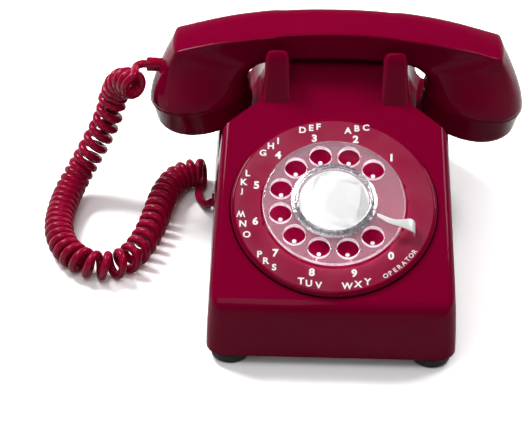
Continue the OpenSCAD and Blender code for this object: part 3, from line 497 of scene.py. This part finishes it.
def spun(profile, turns, where, closed=False):
    """A bmesh of a profile of (radius, height) in millimetres, spun about where's z axis."""
    bm = bmesh.new()
    verts = [bm.verts.new(Vector((max(r, 0), 0, h)) * MM) for r, h in profile]
    edges = [bm.edges.new(pair) for pair in zip(verts, verts[1:])]
    if closed:
        edges.append(bm.edges.new((verts[-1], verts[0])))
    bmesh.ops.spin(bm, geom=verts + edges, cent=(0, 0, 0), axis=(0, 0, 1), angle=math.tau, steps=turns,
                   use_merge=True)
    bmesh.ops.remove_doubles(bm, verts=bm.verts, dist=1e-6)
    bmesh.ops.recalc_face_normals(bm, faces=bm.faces)
    bmesh.ops.transform(bm, matrix=where, verts=bm.verts)
    return bm


# ---------------------------------------------------------------- cord

def smooth_route(points, share):
    """The point at a share of the way along a smooth curve through the points."""
    spans = len(points) - 1
    at = min(max(share, 0), 1) * spans
    i = min(int(at), spans - 1)
    t = at - i
    a, b, c, d = (Vector(points[min(max(i + k, 0), spans)]) for k in (-1, 0, 1, 2))
    return 0.5 * (2 * b + (c - a) * t + (2 * a - 5 * b + 4 * c - d) * t * t + (3 * b - a - 3 * c + d) * t ** 3)


def even_route(points, count):
    """Evenly spaced points on the smooth curve, with their distances along it."""
    fine = [smooth_route(points, k / (40 * len(points))) for k in range(40 * len(points) + 1)]
    along = [0.0]
    for p, q in zip(fine, fine[1:]):
        along.append(along[-1] + (q - p).length)
    out, k = [], 0
    for i in range(count + 1):
        want = along[-1] * i / count
        while k < len(along) - 2 and along[k + 1] < want:
            k += 1
        out.append(fine[k].lerp(fine[k + 1], (want - along[k]) / max(along[k + 1] - along[k], 1e-9)))
    return out, along[-1]


def pitch_at(share):
    for (x0, y0), (x1, y1) in zip(CURL_PITCH, CURL_PITCH[1:]):
        if share <= x1:
            return y0 + (y1 - y0) * (share - x0) / (x1 - x0)
    return CURL_PITCH[-1][1]


def curl_points(radius, steps):
    """The cord's centreline round the curl: a left-handed helix about the axis."""
    axis, total = even_route(CURL_AXIS, AXIS_STEPS)
    tangent = (axis[1] - axis[0]).normalized()
    up = (Vector((0, 0, 1)) - tangent * tangent.z).normalized()
    frames = []
    for i, p in enumerate(axis):
        ahead = (axis[min(i + 1, AXIS_STEPS)] - axis[max(i - 1, 0)]).normalized()
        up = tangent.rotation_difference(ahead) @ up
        up = (up - ahead * up.dot(ahead)).normalized()
        tangent = ahead
        frames.append((p, ahead.cross(up), up))
    turned = [0.0]
    for i in range(AXIS_STEPS):
        turned.append(turned[-1] + total / AXIS_STEPS / pitch_at((i + 0.5) / AXIS_STEPS))
    _, right, up = frames[-1]
    end = math.atan2(-up.z, -right.z)
    spare = (CURL_START + math.tau * turned[-1] - end) / math.tau
    turns = turned[-1] + round(spare) - spare
    count = int(turns * steps)
    points, k = [], 0
    for j in range(count + 1):
        want = turned[-1] * j / count
        while k < AXIS_STEPS - 1 and turned[k + 1] < want:
            k += 1
        f = min((want - turned[k]) / (turned[k + 1] - turned[k]), 1)
        p, right, up = (a.lerp(b, f) for a, b in zip(frames[k], frames[k + 1]))
        a = CURL_START + math.tau * turns * j / count
        points.append(p + radius * (math.cos(a) * right + math.sin(a) * up))
    return points


class PHONE_OT_cord(Operator):
    """Wind the curly cord from the handset to the plug in the housing"""
    bl_idname = "phone.cord"
    bl_label = "Curly cord"

    def execute(self, context):
        size = context.scene.phone_cord
        radius = (size.curl / MM - size.diameter / MM) / 2
        curl = curl_points(radius, size.steps)
        into = curl[0] + (curl[0] - curl[1]).normalized() * LEAD_RUN
        lead, _ = even_route([*HANDSET_TAIL, into, curl[0]], LEAD_STEPS)
        leave = curl[-1] + (curl[-1] - curl[-2]).normalized() * OUT_RUN
        out, _ = even_route([curl[-1], leave, *BASE_TAIL], OUT_STEPS)
        path = [p * MM for p in lead[:-1] + curl + out[1:]]
        line = bpy.data.curves.new("Curly_cord", "CURVE")
        line.dimensions, line.bevel_depth, line.bevel_resolution = "3D", size.diameter / 2, 3
        line.use_fill_caps, line.twist_mode = True, "MINIMUM"
        spline = line.splines.new("POLY")
        spline.points.add(len(path) - 1)
        for point, p in zip(spline.points, path):
            point.co = (*p, 1)
        rod = bpy.data.objects.new("Curly_cord_line", line)
        context.scene.collection.objects.link(rod)
        mesh = bpy.data.meshes.new_from_object(rod.evaluated_get(context.evaluated_depsgraph_get()))
        bpy.data.objects.remove(rod)
        mesh.name = "Curly_cord"
        bm = bmesh.new()
        bm.from_mesh(mesh)
        bpy.data.meshes.remove(mesh)
        bmesh.ops.remove_doubles(bm, verts=bm.verts, dist=1e-6)
        cord = piece_from(bm, "Curly_cord", None, "cord_vinyl", "handset_tail", "curly_cord", "base_tail", angle=60)
        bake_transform(cord)
        real = sum((b - a).length for a, b in zip(path, path[1:]))
        return {"FINISHED"}


# ---------------------------------------------------------------- stage

REACH, FOCAL, FRAME_WIDTH, SHIFT = 1.9, 3040.0, 530, (-3.1, 68.9)
RISE, TURN, ROLL = math.radians(37), math.radians(1.15), math.radians(2.1)
FLOOR_HALF, FLOOR_SEEN, FLOOR_MIRRORED = 6, 1.9, 0.33
# Where the floor starts to fade to plain white, and where it has done so, in metres
FADE_FROM, FADE_TO = 0.45, 1.0


class PHONE_OT_stage(Operator):
    """Lay out the camera, the pale floor and the soft lamps"""
    bl_idname = "phone.stage"
    bl_label = "Stage"

    def execute(self, context):
        size = context.scene.phone_stage
        scene = context.scene
        self.camera(scene)
        self.floor(size)
        self.lamp("Key", (-0.8, 0.6, 1.25), (0, 0.02, 0.06), 0.45, size.key)
        self.lamp("Right_key", (0.85, 0.5, 1.25), (0, 0, 0.06), 0.45, size.key * 0.45)
        self.lamp("Front_fill", (-0.35, -0.8, 1.65), (0, 0, 0.06), 0.7, size.fill)
        world = scene.world or bpy.data.worlds.new("Room")
        scene.world = world
        r = Recipe("Room", world)
        path = r.add("ShaderNodeLightPath")
        seen = (path["Is Camera Ray"] + path["Is Transmission Ray"]).clamped()
        height = r.add("ShaderNodeSeparateXYZ", {}, {0: r.add("ShaderNodeTexCoord")["Generated"]})["Z"]
        mirrored = r.between(height, 1.0, 0.04, 0.05, 0.45) * path["Is Glossy Ray"]
        plain = size.sky * r.between(height, 0.15, 1.5, 0.0, 0.9) * (1 - path["Is Glossy Ray"])
        dim = r.add("ShaderNodeBackground", {}, {"Color": (1, 1, 1), "Strength": mirrored + plain})["Background"]
        white = r.add("ShaderNodeBackground", {}, {"Color": (1, 1, 1), "Strength": 1.0})["Background"]
        r.show(r.either(seen, dim, white))
        scene.view_settings.view_transform = "Standard"
        return {"FINISHED"}

    def camera(self, scene):
        back = Vector((-math.cos(RISE) * math.sin(TURN), -math.cos(RISE) * math.cos(TURN), math.sin(RISE)))
        right = Vector((math.cos(TURN), -math.sin(TURN), 0))
        up = back.cross(right)
        across = math.cos(ROLL) * right + math.sin(ROLL) * up
        upward = -math.sin(ROLL) * right + math.cos(ROLL) * up
        aim = Matrix((across, upward, back)).transposed()
        nudge = Euler((math.atan(SHIFT[0] / FOCAL), math.atan(SHIFT[1] / FOCAL), 0)).to_matrix()
        lens = bpy.data.cameras.new("Camera")
        lens.sensor_width, lens.lens = 36, FOCAL / FRAME_WIDTH * 36
        lens.clip_start, lens.clip_end = 0.1, 20
        camera = bpy.data.objects.new("Camera", lens)
        camera.matrix_world = Matrix.Translation(DIAL_CENTRE + REACH * back) @ (aim @ nudge).to_4x4()
        scene.collection.objects.link(camera)
        scene.camera = camera

    def floor(self, size):
        bm = bmesh.new()
        bmesh.ops.create_grid(bm, x_segments=1, y_segments=1, size=FLOOR_HALF)
        r = Recipe("Floor_paper")
        path = r.add("ShaderNodeLightPath")
        seen = (path["Is Camera Ray"] + path["Is Transmission Ray"]).clamped()
        grain = r.noise(400, 3, 0.6)
        pale = r.blend(r.between(grain, 0, 1), shade(size.floor, 0.99), size.floor)
        paper = r.blend(path["Is Glossy Ray"], shade(size.floor, FLOOR_MIRRORED), pale)
        bright = tuple(c * FLOOR_SEEN for c in size.floor)
        surface = r.add("ShaderNodeBsdfDiffuse", {}, {"Color": r.blend(seen, paper, bright), "Roughness": 0.0})
        away = r.add("ShaderNodeVectorMath", {"operation": "LENGTH"}, {0: r.place()})["Value"]
        far = r.between(away, 0, 1, FADE_FROM, FADE_TO) * (seen + path["Is Glossy Ray"]).clamped()
        glow = r.add("ShaderNodeEmission", {}, {"Color": (1, 1, 1), "Strength": 1.0})
        r.show(r.either(far, surface["BSDF"], glow["Emission"]))
        mesh = bpy.data.meshes.new("Floor")
        bm.to_mesh(mesh)
        bm.free()
        mesh.materials.append(r.owner)
        floor = bpy.data.objects.new("Floor", mesh)
        bpy.context.scene.collection.objects.link(floor)

    def lamp(self, name, place, target, width, power):
        light = bpy.data.lights.new(name, "AREA")
        light.shape, light.size, light.energy = "SQUARE", width, power
        lamp = bpy.data.objects.new(name, light)
        lamp.location = place
        lamp.rotation_euler = (Vector(place) - Vector(target)).to_track_quat("Z", "Y").to_euler()
        bpy.context.scene.collection.objects.link(lamp)


# ---------------------------------------------------------------- housing and fittings

class PHONE_OT_housing(Operator):
    """Dress the housing, its feet and the fittings on it"""
    bl_idname = "phone.housing"
    bl_label = "Housing"

    def execute(self, context):
        self.shell()
        dressed_copy("feet", "Rubber_feet", width=0.5)
        dressed_copy("line_inlet", "Line_inlet", width=0.25)
        self.plug()
        for side in ("left", "right"):
            dressed_copy("plunger_" + side, "Cradle_plunger_" + side, width=0.2)
        return {"FINISHED"}

    def shell(self):
        """The housing, with blunter front horns, and its screw boss kept under the face."""
        bm = merged_copy("housing")
        for vert in bm.verts:
            x, y, z = vert.co / MM
            if HORN_IN < abs(x) < HORN_OUT and HORN_FRONT < y < HORN_BACK and z > HORN_FOOT:
                up = (z - HORN_FOOT) / (HORN_TIP - HORN_FOOT)
                side = math.copysign(1, x)
                vert.co.x = side * (HORN_MIDDLE + (abs(x) - HORN_MIDDLE) * (1 + HORN_WIDER * up ** 3)) * MM
                vert.co.z = (HORN_FOOT + (z - HORN_FOOT) * HORN_SHARE) * MM
            face = FACE_FOOT + (y - FACE_FRONT) * math.tan(FACE_SLOPE)
            if abs(x) < BOSS_HALF and BOSS_FRONT < y < BOSS_BACK and z > face + BOSS_SLACK:
                vert.co.z = (face - BOSS_SUNK) * MM
        piece_from(bm, "Housing_shell", "base", SLOT_OF["housing"], "housing", angle=28)

    def plug(self):
        """The cord's plug in the left wall, drawn smaller than its solid."""
        bm = merged_copy("base_cord_plug")
        bmesh.ops.scale(bm, vec=PLUG_SHARE, verts=bm.verts, space=Matrix.Translation(-PLUG_PLACE * MM))
        piece_from(bm, "Base_cord_plug", "base", SLOT_OF["base_cord_plug"], "base_cord_plug", angle=32, width=0.6,
                   segments=3)


# ---------------------------------------------------------------- handset

RIDGE_Z, RIDGE_DROP, END_X, GRIP_H, BEND_X = 135.79, 16.5, 105.5, 22.5, 42.0
RIDGE_HALF, RIDGE_HALF_END, UNDER_HALF, RIDGE_ANGLE = 14.7, 16.2, 11.5, 29.0
CAP_R, CAP_H, CAP_EDGE, NECK_R, NECK_H = 33.5, 20.0, 5.6, 29.4, 6.0
GRIP_RINGS, BEND_RINGS, TURN_RING = 6, 13, 6


def mix(a, b, t):
    return a + (b - a) * t


def ease(t):
    t = min(max(t, 0), 1)
    return t * t * (3 - 2 * t)


def bezier(p, t):
    u = 1 - t
    return p[0] * u ** 3 + p[1] * 3 * t * u * u + p[2] * 3 * t * t * u + p[3] * t ** 3


def ridge_at(x):
    return RIDGE_Z - RIDGE_DROP * (x / 105) ** 2


SEAM_R = CAP_R - 0.4
SEAM_OUT = Vector((CAP_X + SEAM_R * math.cos(CAP_TILT), CAP_Z - SEAM_R * math.sin(CAP_TILT)))
SEAM_IN = Vector((CAP_X - SEAM_R * math.cos(CAP_TILT), CAP_Z + SEAM_R * math.sin(CAP_TILT)))
TOP_END = Vector((END_X, ridge_at(END_X)))
END_CURVE = (TOP_END, TOP_END + Vector((4, -8)), SEAM_OUT + Vector((-1.6, 16)), SEAM_OUT)
GRIP_END = Vector((BEND_X, ridge_at(BEND_X) - GRIP_H))
BEND_CURVE = (GRIP_END, GRIP_END + Vector((10.5, -2.4)), SEAM_IN + Vector((1.2, 13)), SEAM_IN)


def handset_ring(outer, inner, share, half):
    """One section of the handset, from the square-shouldered grip to the round cup."""
    side = 7
    deep = inner - outer
    l = deep.length
    top = [(k / 2 * half, -0.7 if abs(k) < 2 else 0) for k in (-2, -1, 0, 1)]
    down = [(mix(half, UNDER_HALF + 1, (k / side) ** 1.15), k / side * l) for k in range(side)]
    under = [(UNDER_HALF - 0.8, l - 0.9), (UNDER_HALF - 4, l), (0, l), (4 - UNDER_HALF, l), (0.8 - UNDER_HALF, l - 0.9)]
    rise = [(-mix(half, UNDER_HALF + 1, (k / side) ** 1.15), k / side * l) for k in range(side - 1, 0, -1)]
    grip = top + down + under + rise
    n = len(grip)
    ring = []
    for k, (across, depth) in enumerate(grip):
        if k <= 4:
            a = RIDGE_ANGLE * (k - 2) / 2
        elif k <= n / 2 + 1:
            a = mix(RIDGE_ANGLE, 180, (k - 4) / (n / 2 - 2))
        else:
            a = mix(180, 360 - RIDGE_ANGLE, (k - n / 2 - 2) / (n / 2 - 2))
        a = math.radians(a)
        across = mix(across, l / 2 * math.sin(a), share)
        depth = mix(depth, l / 2 - l / 2 * math.cos(a), share)
        p = outer + deep * (depth / l)
        ring.append(Vector((p.x, HANDSET_Y + across, p.y)) * MM)
    return ring


def handset_half():
    rings = []
    for k in range(GRIP_RINGS):
        x = BEND_X * k / GRIP_RINGS
        top = Vector((x, ridge_at(x)))
        rings.append(handset_ring(top, top - Vector((0, GRIP_H)), 0, mix(RIDGE_HALF, RIDGE_HALF_END, x / 105)))
    turn = TURN_RING / BEND_RINGS
    for k in range(BEND_RINGS + 1):
        t = k / BEND_RINGS
        x = mix(BEND_X, END_X, min(t / turn, 1))
        outer = Vector((x, ridge_at(x))) if k <= TURN_RING else bezier(END_CURVE, (t - turn) / (1 - turn))
        inner = bezier(BEND_CURVE, ease(t) * 0.35 + t * 0.65)
        rings.append(handset_ring(outer, inner, ease((t - 0.12) / 0.88), RIDGE_HALF_END))
    return rings


def cap_place(side):
    return (Matrix.Translation(Vector((HANDSET_X + side * CAP_X, HANDSET_Y, CAP_Z)) * MM)
            @ Matrix.Rotation(side * CAP_TILT, 4, "Y"))


class PHONE_OT_handset(Operator):
    """Shape the handset, its two screwed caps and the cord's grommet"""
    bl_idname = "phone.handset"
    bl_label = "Handset"

    def execute(self, context):
        self.body()
        for side, name in ((-1, "Mouth_cap"), (1, "Ear_cap")):
            self.cap(side, name)
        sleeve = [(0, 0), (3.9, 0), (4.6, 0.6), (4.6, 6.8), (4.3, 7.4), (4.3, 13.5), (0, 13.5)]
        place = Matrix.Translation(GROMMET_PLACE * MM) @ Matrix.Rotation(math.pi / 2, 4, "Y")
        piece_from(spun(sleeve, 48, place), "Handset_grommet", "handset", SLOT_OF["handset_grommet"],
                   "handset_grommet")
        return {"FINISHED"}

    def body(self):
        half = handset_half()
        sides = [(-1, ring) for ring in half[:0:-1]] + [(1, ring) for ring in half]
        rings = [[Vector((HANDSET_X * MM + side * p.x, p.y, p.z)) for p in ring] for side, ring in sides]
        bm = bmesh.new()
        crease = bm.edges.layers.float.new("crease_edge")
        loops = []
        for ring in rings:
            verts = [bm.verts.new(p) for p in ring]
            loops.append([bm.edges.new((a, b)) for a, b in zip(verts, verts[1:] + verts[:1])])
        for first, second in zip(loops, loops[1:]):
            bmesh.ops.bridge_loops(bm, edges=first + second)
        bm.verts.index_update()
        count, last = len(half[0]), len(rings) - 1
        sharp = {0: 0.85, 4: 0.85, 11: 0.35, 15: 0.35}
        for edge in bm.edges:
            a, b = sorted(v.index for v in edge.verts)
            ring, place = divmod(a, count)
            off = min(ring, last - ring - (b - a == count))
            if b - a == count:
                edge[crease] = sharp.get(place, 0) * min(1, max(0, (off - 3) / 4))
            elif off == BEND_RINGS - TURN_RING and b % count <= 4 and place < 4:
                edge[crease] = 0.7
        for loop in (loops[0], loops[-1]):
            for edge in loop:
                edge[crease] = 1.0
            bmesh.ops.contextual_create(bm, geom=loop)
        bmesh.ops.recalc_face_normals(bm, faces=bm.faces)
        skin = piece_from(bm, "Handset_body", "handset", "cherry_plastic", "handset_body", angle=180, levels=2)
        hold_skin(skin)

    def cap(self, side, name):
        rim = CAP_R - CAP_EDGE - 1.4
        crown = [(rim + CAP_EDGE * math.cos(math.radians(a)), CAP_EDGE - CAP_H + CAP_EDGE * math.sin(math.radians(a)))
                 for a in range(-84, 1, 12)]
        profile = [(0, 0.6 - CAP_H), (9, 0.5 - CAP_H), (18, 0.25 - CAP_H), (rim - 1, -CAP_H), *crown,
                   (CAP_R - 0.95, -3.4), (CAP_R - 0.25, -1.6), (CAP_R - 0.12, -1.1), (CAP_R - 0.3, -0.5),
                   (CAP_R - 0.8, -0.1), (CAP_R - 1.2, 0), (NECK_R + 0.05, 0), (NECK_R + 0.05, -NECK_H)]
        bm = spun(profile, 96, cap_place(side))
        piece_from(bm, name, "handset", "cap_plastic", "transmitter_cap" if side < 0 else "receiver_cap", angle=32)


# ---------------------------------------------------------------- dial

FIGURES = [("1", 50.5, 45), ("2", 50.5, 75), ("3", 50.5, 105), ("4", 50.5, 135), ("5", 50.5, 165), ("6", 50.5, 195),
           ("7", 50.5, 225), ("8", 50.5, 255), ("9", 50.5, 285), ("0", 50.5, 315)]
LETTERS = [("A", 55.7, 81.6), ("B", 58.6, 76.3), ("C", 60.9, 71.3), ("D", 58.5, 110.6), ("E", 58.5, 105),
           ("F", 58.5, 100.4), ("G", 58.5, 140.7), ("H", 58.5, 133.7), ("I", 58.5, 127.9), ("L", 58.5, 158.2),
           ("K", 58.5, 165), ("J", 58.5, 172), ("M", 58.5, 188), ("N", 58.5, 195), ("O", 58.5, 203),
           ("P", 58.5, 219), ("R", 58.5, 225), ("S", 58.5, 231.6), ("T", 58.5, 250.4), ("U", 58.5, 255.4),
           ("V", 58.5, 261.4), ("W", 58.5, 278.7), ("X", 58.5, 285.4), ("Y", 58.5, 291.4)]
WORD, WORD_RADIUS, WORD_FROM, WORD_TO = "OPERATOR", 59.6, -57.0, -32.7
# How much the figures, the letters and the word are thickened, as shares of their size
FIGURE_HEAVY, LETTER_HEAVY, WORD_HEAVY = 0.042, 0.034, 0.012
PLATE_FLAT, STOP_SPANS = 62, 6


def on_dial(radius, angle, height, turn=0.0):
    a = math.radians(angle)
    return (DIAL @ Matrix.Translation(Vector((radius * math.cos(a), radius * math.sin(a), height)) * MM)
            @ Matrix.Rotation(turn, 4, "Z"))


class PHONE_OT_number_plate(Operator):
    """Shape the number plate and print its figures, letters and dots"""
    bl_idname = "phone.number_plate"
    bl_label = "Number plate"

    def execute(self, context):
        rim = [(63.2, 2.8), (64.2, 2.2), (64.7, 1.3), (64.8, 0.5), (64.6, -0.2), (64.3, -8), (62.6, -8), (62.6, 1)]
        under = [(WELL_RADIUS - 0.2, 1), (WELL_RADIUS - 1.6, WELL_FLOOR - 1.8), (11, WELL_FLOOR - 1.8)]
        well = [(11, WELL_FLOOR), (WELL_RADIUS - 1.2, WELL_FLOOR), (WELL_RADIUS - 0.5, WELL_FLOOR + 0.5),
                (WELL_RADIUS, PLATE_TOP - 0.9), (WELL_RADIUS + 0.5, PLATE_TOP - 0.1), (WELL_RADIUS + 1.4, PLATE_TOP)]
        plate = piece_from(spun([*well, (PLATE_FLAT, PLATE_TOP), *rim, *under], 192, DIAL, closed=True), "Number_plate",
                           "base", "cherry_plastic", "number_plate", angle=40)
        plate.data.materials.append(glossy_moulding("Finish_plate", context.scene.phone_plate.tint, rough=0.36,
                                                    specular=0.4))
        to_dial = DIAL.inverted()
        for face in plate.data.polygons:
            middle = to_dial @ face.center / MM
            face.material_index = int(middle.z > PLATE_TOP - 0.05 and math.hypot(middle.x, middle.y) < PLATE_FLAT)
        size = context.scene.phone_lettering
        marks = bmesh.new()
        for glyph, radius, angle in FIGURES:
            self.glyph(marks, glyph, on_dial(radius, angle, PLATE_TOP), size.figure, FIGURE_HEAVY)
        for glyph, radius, angle in LETTERS:
            self.glyph(marks, glyph, on_dial(radius, angle, PLATE_TOP), size.letter, LETTER_HEAVY)
        for k, glyph in enumerate(WORD):
            angle = mix(WORD_FROM, WORD_TO, k / (len(WORD) - 1))
            turn = math.radians(angle + 90)
            self.glyph(marks, glyph, on_dial(WORD_RADIUS, angle, PLATE_TOP, turn), size.word, WORD_HEAVY)
        for k in range(10):
            dot = on_dial(FINGER_CIRCLE, 45 + 30 * k, WELL_FLOOR + 0.02)
            bmesh.ops.create_circle(marks, cap_ends=True, segments=24, radius=1.35 * MM, matrix=dot)
        piece_from(marks, "Dial_markings", "base", "lettering", angle=60)
        return {"FINISHED"}

    def glyph(self, marks, glyph, where, height, heavy):
        """Adds one raised printed character, centred on its place."""
        turned = glyph == "M"
        text = bpy.data.curves.new("Glyph", "FONT")
        text.body, text.size, text.offset = "W" if turned else glyph, 1.0, heavy
        text.extrude, text.resolution_u = 0.02, 4
        obj = bpy.data.objects.new("Glyph", text)
        bpy.context.scene.collection.objects.link(obj)
        mesh = bpy.data.meshes.new_from_object(obj.evaluated_get(bpy.context.evaluated_depsgraph_get()))
        bpy.data.objects.remove(obj)
        bpy.data.curves.remove(text)
        xs = [v.co.x for v in mesh.vertices]
        ys = [v.co.y for v in mesh.vertices]
        centre = Vector(((min(xs) + max(xs)) / 2, (min(ys) + max(ys)) / 2, 0))
        scale = height / (max(ys) - min(ys))
        size = Matrix.Diagonal((scale, scale, scale * 0.3, 1))
        if turned:
            size = size @ Matrix.Diagonal((0.8, 1, 1, 1)) @ Matrix.Rotation(math.pi, 4, "Z")
        mesh.transform(where @ Matrix.Translation((0, 0, 0.08 * MM)) @ size @ Matrix.Translation(-centre))
        marks.from_mesh(mesh)
        bpy.data.meshes.remove(mesh)


class PHONE_OT_finger_wheel(Operator):
    """Shape the clear finger wheel, its card, cover and ring, and the finger stop"""
    bl_idname = "phone.finger_wheel"
    bl_label = "Finger wheel"

    def execute(self, context):
        wheel = dressed_copy("finger_wheel", "Finger_wheel", angle=30, width=0.7, segments=3)
        wheel.visible_shadow = False
        wheel.data.materials.append(painted_glow_edge("Finish_wheel_edge", context.scene.phone_colours.wheel))
        # The wheel's side walls, round its rim and its finger holes, take the painted glow and whitened colour.
        up = DIAL.to_3x3().col[2]
        for face in wheel.data.polygons:
            face.material_index = int(abs(face.normal.dot(up)) < 0.5)
        dressed_copy("number_card", "Number_card", width=0.1)
        cover = dressed_copy("card_cover", "Card_cover", angle=50, width=0)
        cover.visible_shadow = False
        cover.data.materials[0] = cover_film("Finish_cover", (0.98, 0.98, 0.98))
        ring = [(22.45, 7.3), (22.45, 9.8), (22.9, 10), (23.7, 9.7), (24.4, 9), (25.3, 8.5), (26.4, 8.35),
                (26.8, 8.2), (26.7, 8.06), (24.45, 8.06), (24.4, 7.3)]
        ring = piece_from(spun(ring, 128, DIAL, closed=True), "Card_retainer", "dial", SLOT_OF["card_retainer"],
                          "card_retainer", angle=50)
        ring.visible_shadow = False
        ring.data.materials[0] = crazed_ring("Finish_ring", (0.8, 0.74, 0.8))
        self.stop()
        return {"FINISHED"}

    def stop(self):
        """The finger stop: a band that flares from the ring outwards and turns down into the plate."""
        bm = bmesh.new()
        rows = []
        for x, y_high, y_low, sink, crown in STOP_ROWS:
            row = []
            for k in range(STOP_SPANS + 1):
                share = k / STOP_SPANS
                rise = crown * math.sin(math.pi * share)
                row.append(bm.verts.new(Vector((x, mix(y_high, y_low, share), STOP_HEIGHT - sink + rise)) * MM))
            rows.append([bm.edges.new(pair) for pair in zip(row, row[1:])])
        for near, far in zip(rows, rows[1:]):
            bmesh.ops.bridge_loops(bm, edges=near + far)
        bmesh.ops.recalc_face_normals(bm, faces=bm.faces)
        bmesh.ops.solidify(bm, geom=bm.faces[:], thickness=1.2 * MM)
        bmesh.ops.recalc_face_normals(bm, faces=bm.faces)
        bmesh.ops.transform(bm, matrix=DIAL, verts=bm.verts)
        stop = piece_from(bm, "Finger_stop", "base", "bright_steel", "finger_stop", angle=40, width=0.25)
        stop.data.materials[0] = worked_metal("Finish_stop", (1.0, 1.0, 0.99), 0.4, (1, 8, 1), metallic=0.45)


class PHONE_OT_works(Operator):
    """Give every solid that still shows the finish of its slot"""
    bl_idname = "phone.works"
    bl_label = "Works and fastenings"

    def execute(self, context):
        for node, obj in frame["nodes"].items():
            if obj.hide_render:
                continue
            finish = finish_of(SLOT_OF[node])
            obj.data.materials.clear()
            obj.data.materials.append(finish)
        return {"FINISHED"}


# ---------------------------------------------------------------- panel and running order

PIECES = (PHONE_OT_cord, PHONE_OT_stage, PHONE_OT_housing, PHONE_OT_handset, PHONE_OT_number_plate,
          PHONE_OT_finger_wheel, PHONE_OT_works)
GROUPS = {"phone_colours": PHONE_PG_colours, "phone_cord": PHONE_PG_cord, "phone_plate": PHONE_PG_plate,
          "phone_lettering": PHONE_PG_lettering, "phone_stage": PHONE_PG_stage}


class PHONE_PT_pieces(Panel):
    """Lists the telephone's pieces and their sizes"""
    bl_idname = "PHONE_PT_pieces"
    bl_label = "Telephone"
    bl_space_type = "VIEW_3D"
    bl_region_type = "UI"
    bl_category = "Telephone"

    def draw(self, context):
        for operator in PIECES:
            self.layout.operator(operator.bl_idname)
        for name, group in GROUPS.items():
            box = self.layout.box()
            for key in group.__annotations__:
                box.prop(getattr(context.scene, name), key)


CLASSES = (*GROUPS.values(), *PIECES, PHONE_PT_pieces)


def register():
    for cls in CLASSES:
        bpy.utils.register_class(cls)
    for name, group in GROUPS.items():
        setattr(bpy.types.Scene, name, PointerProperty(type=group))


def unregister():
    for name in GROUPS:
        delattr(bpy.types.Scene, name)
    for cls in reversed(CLASSES):
        bpy.utils.unregister_class(cls)


def main():
    register()
    for operator in PIECES:
        group, name = operator.bl_idname.split(".")
        getattr(getattr(bpy.ops, group), name)()


if __name__ == "__main__":
    main()
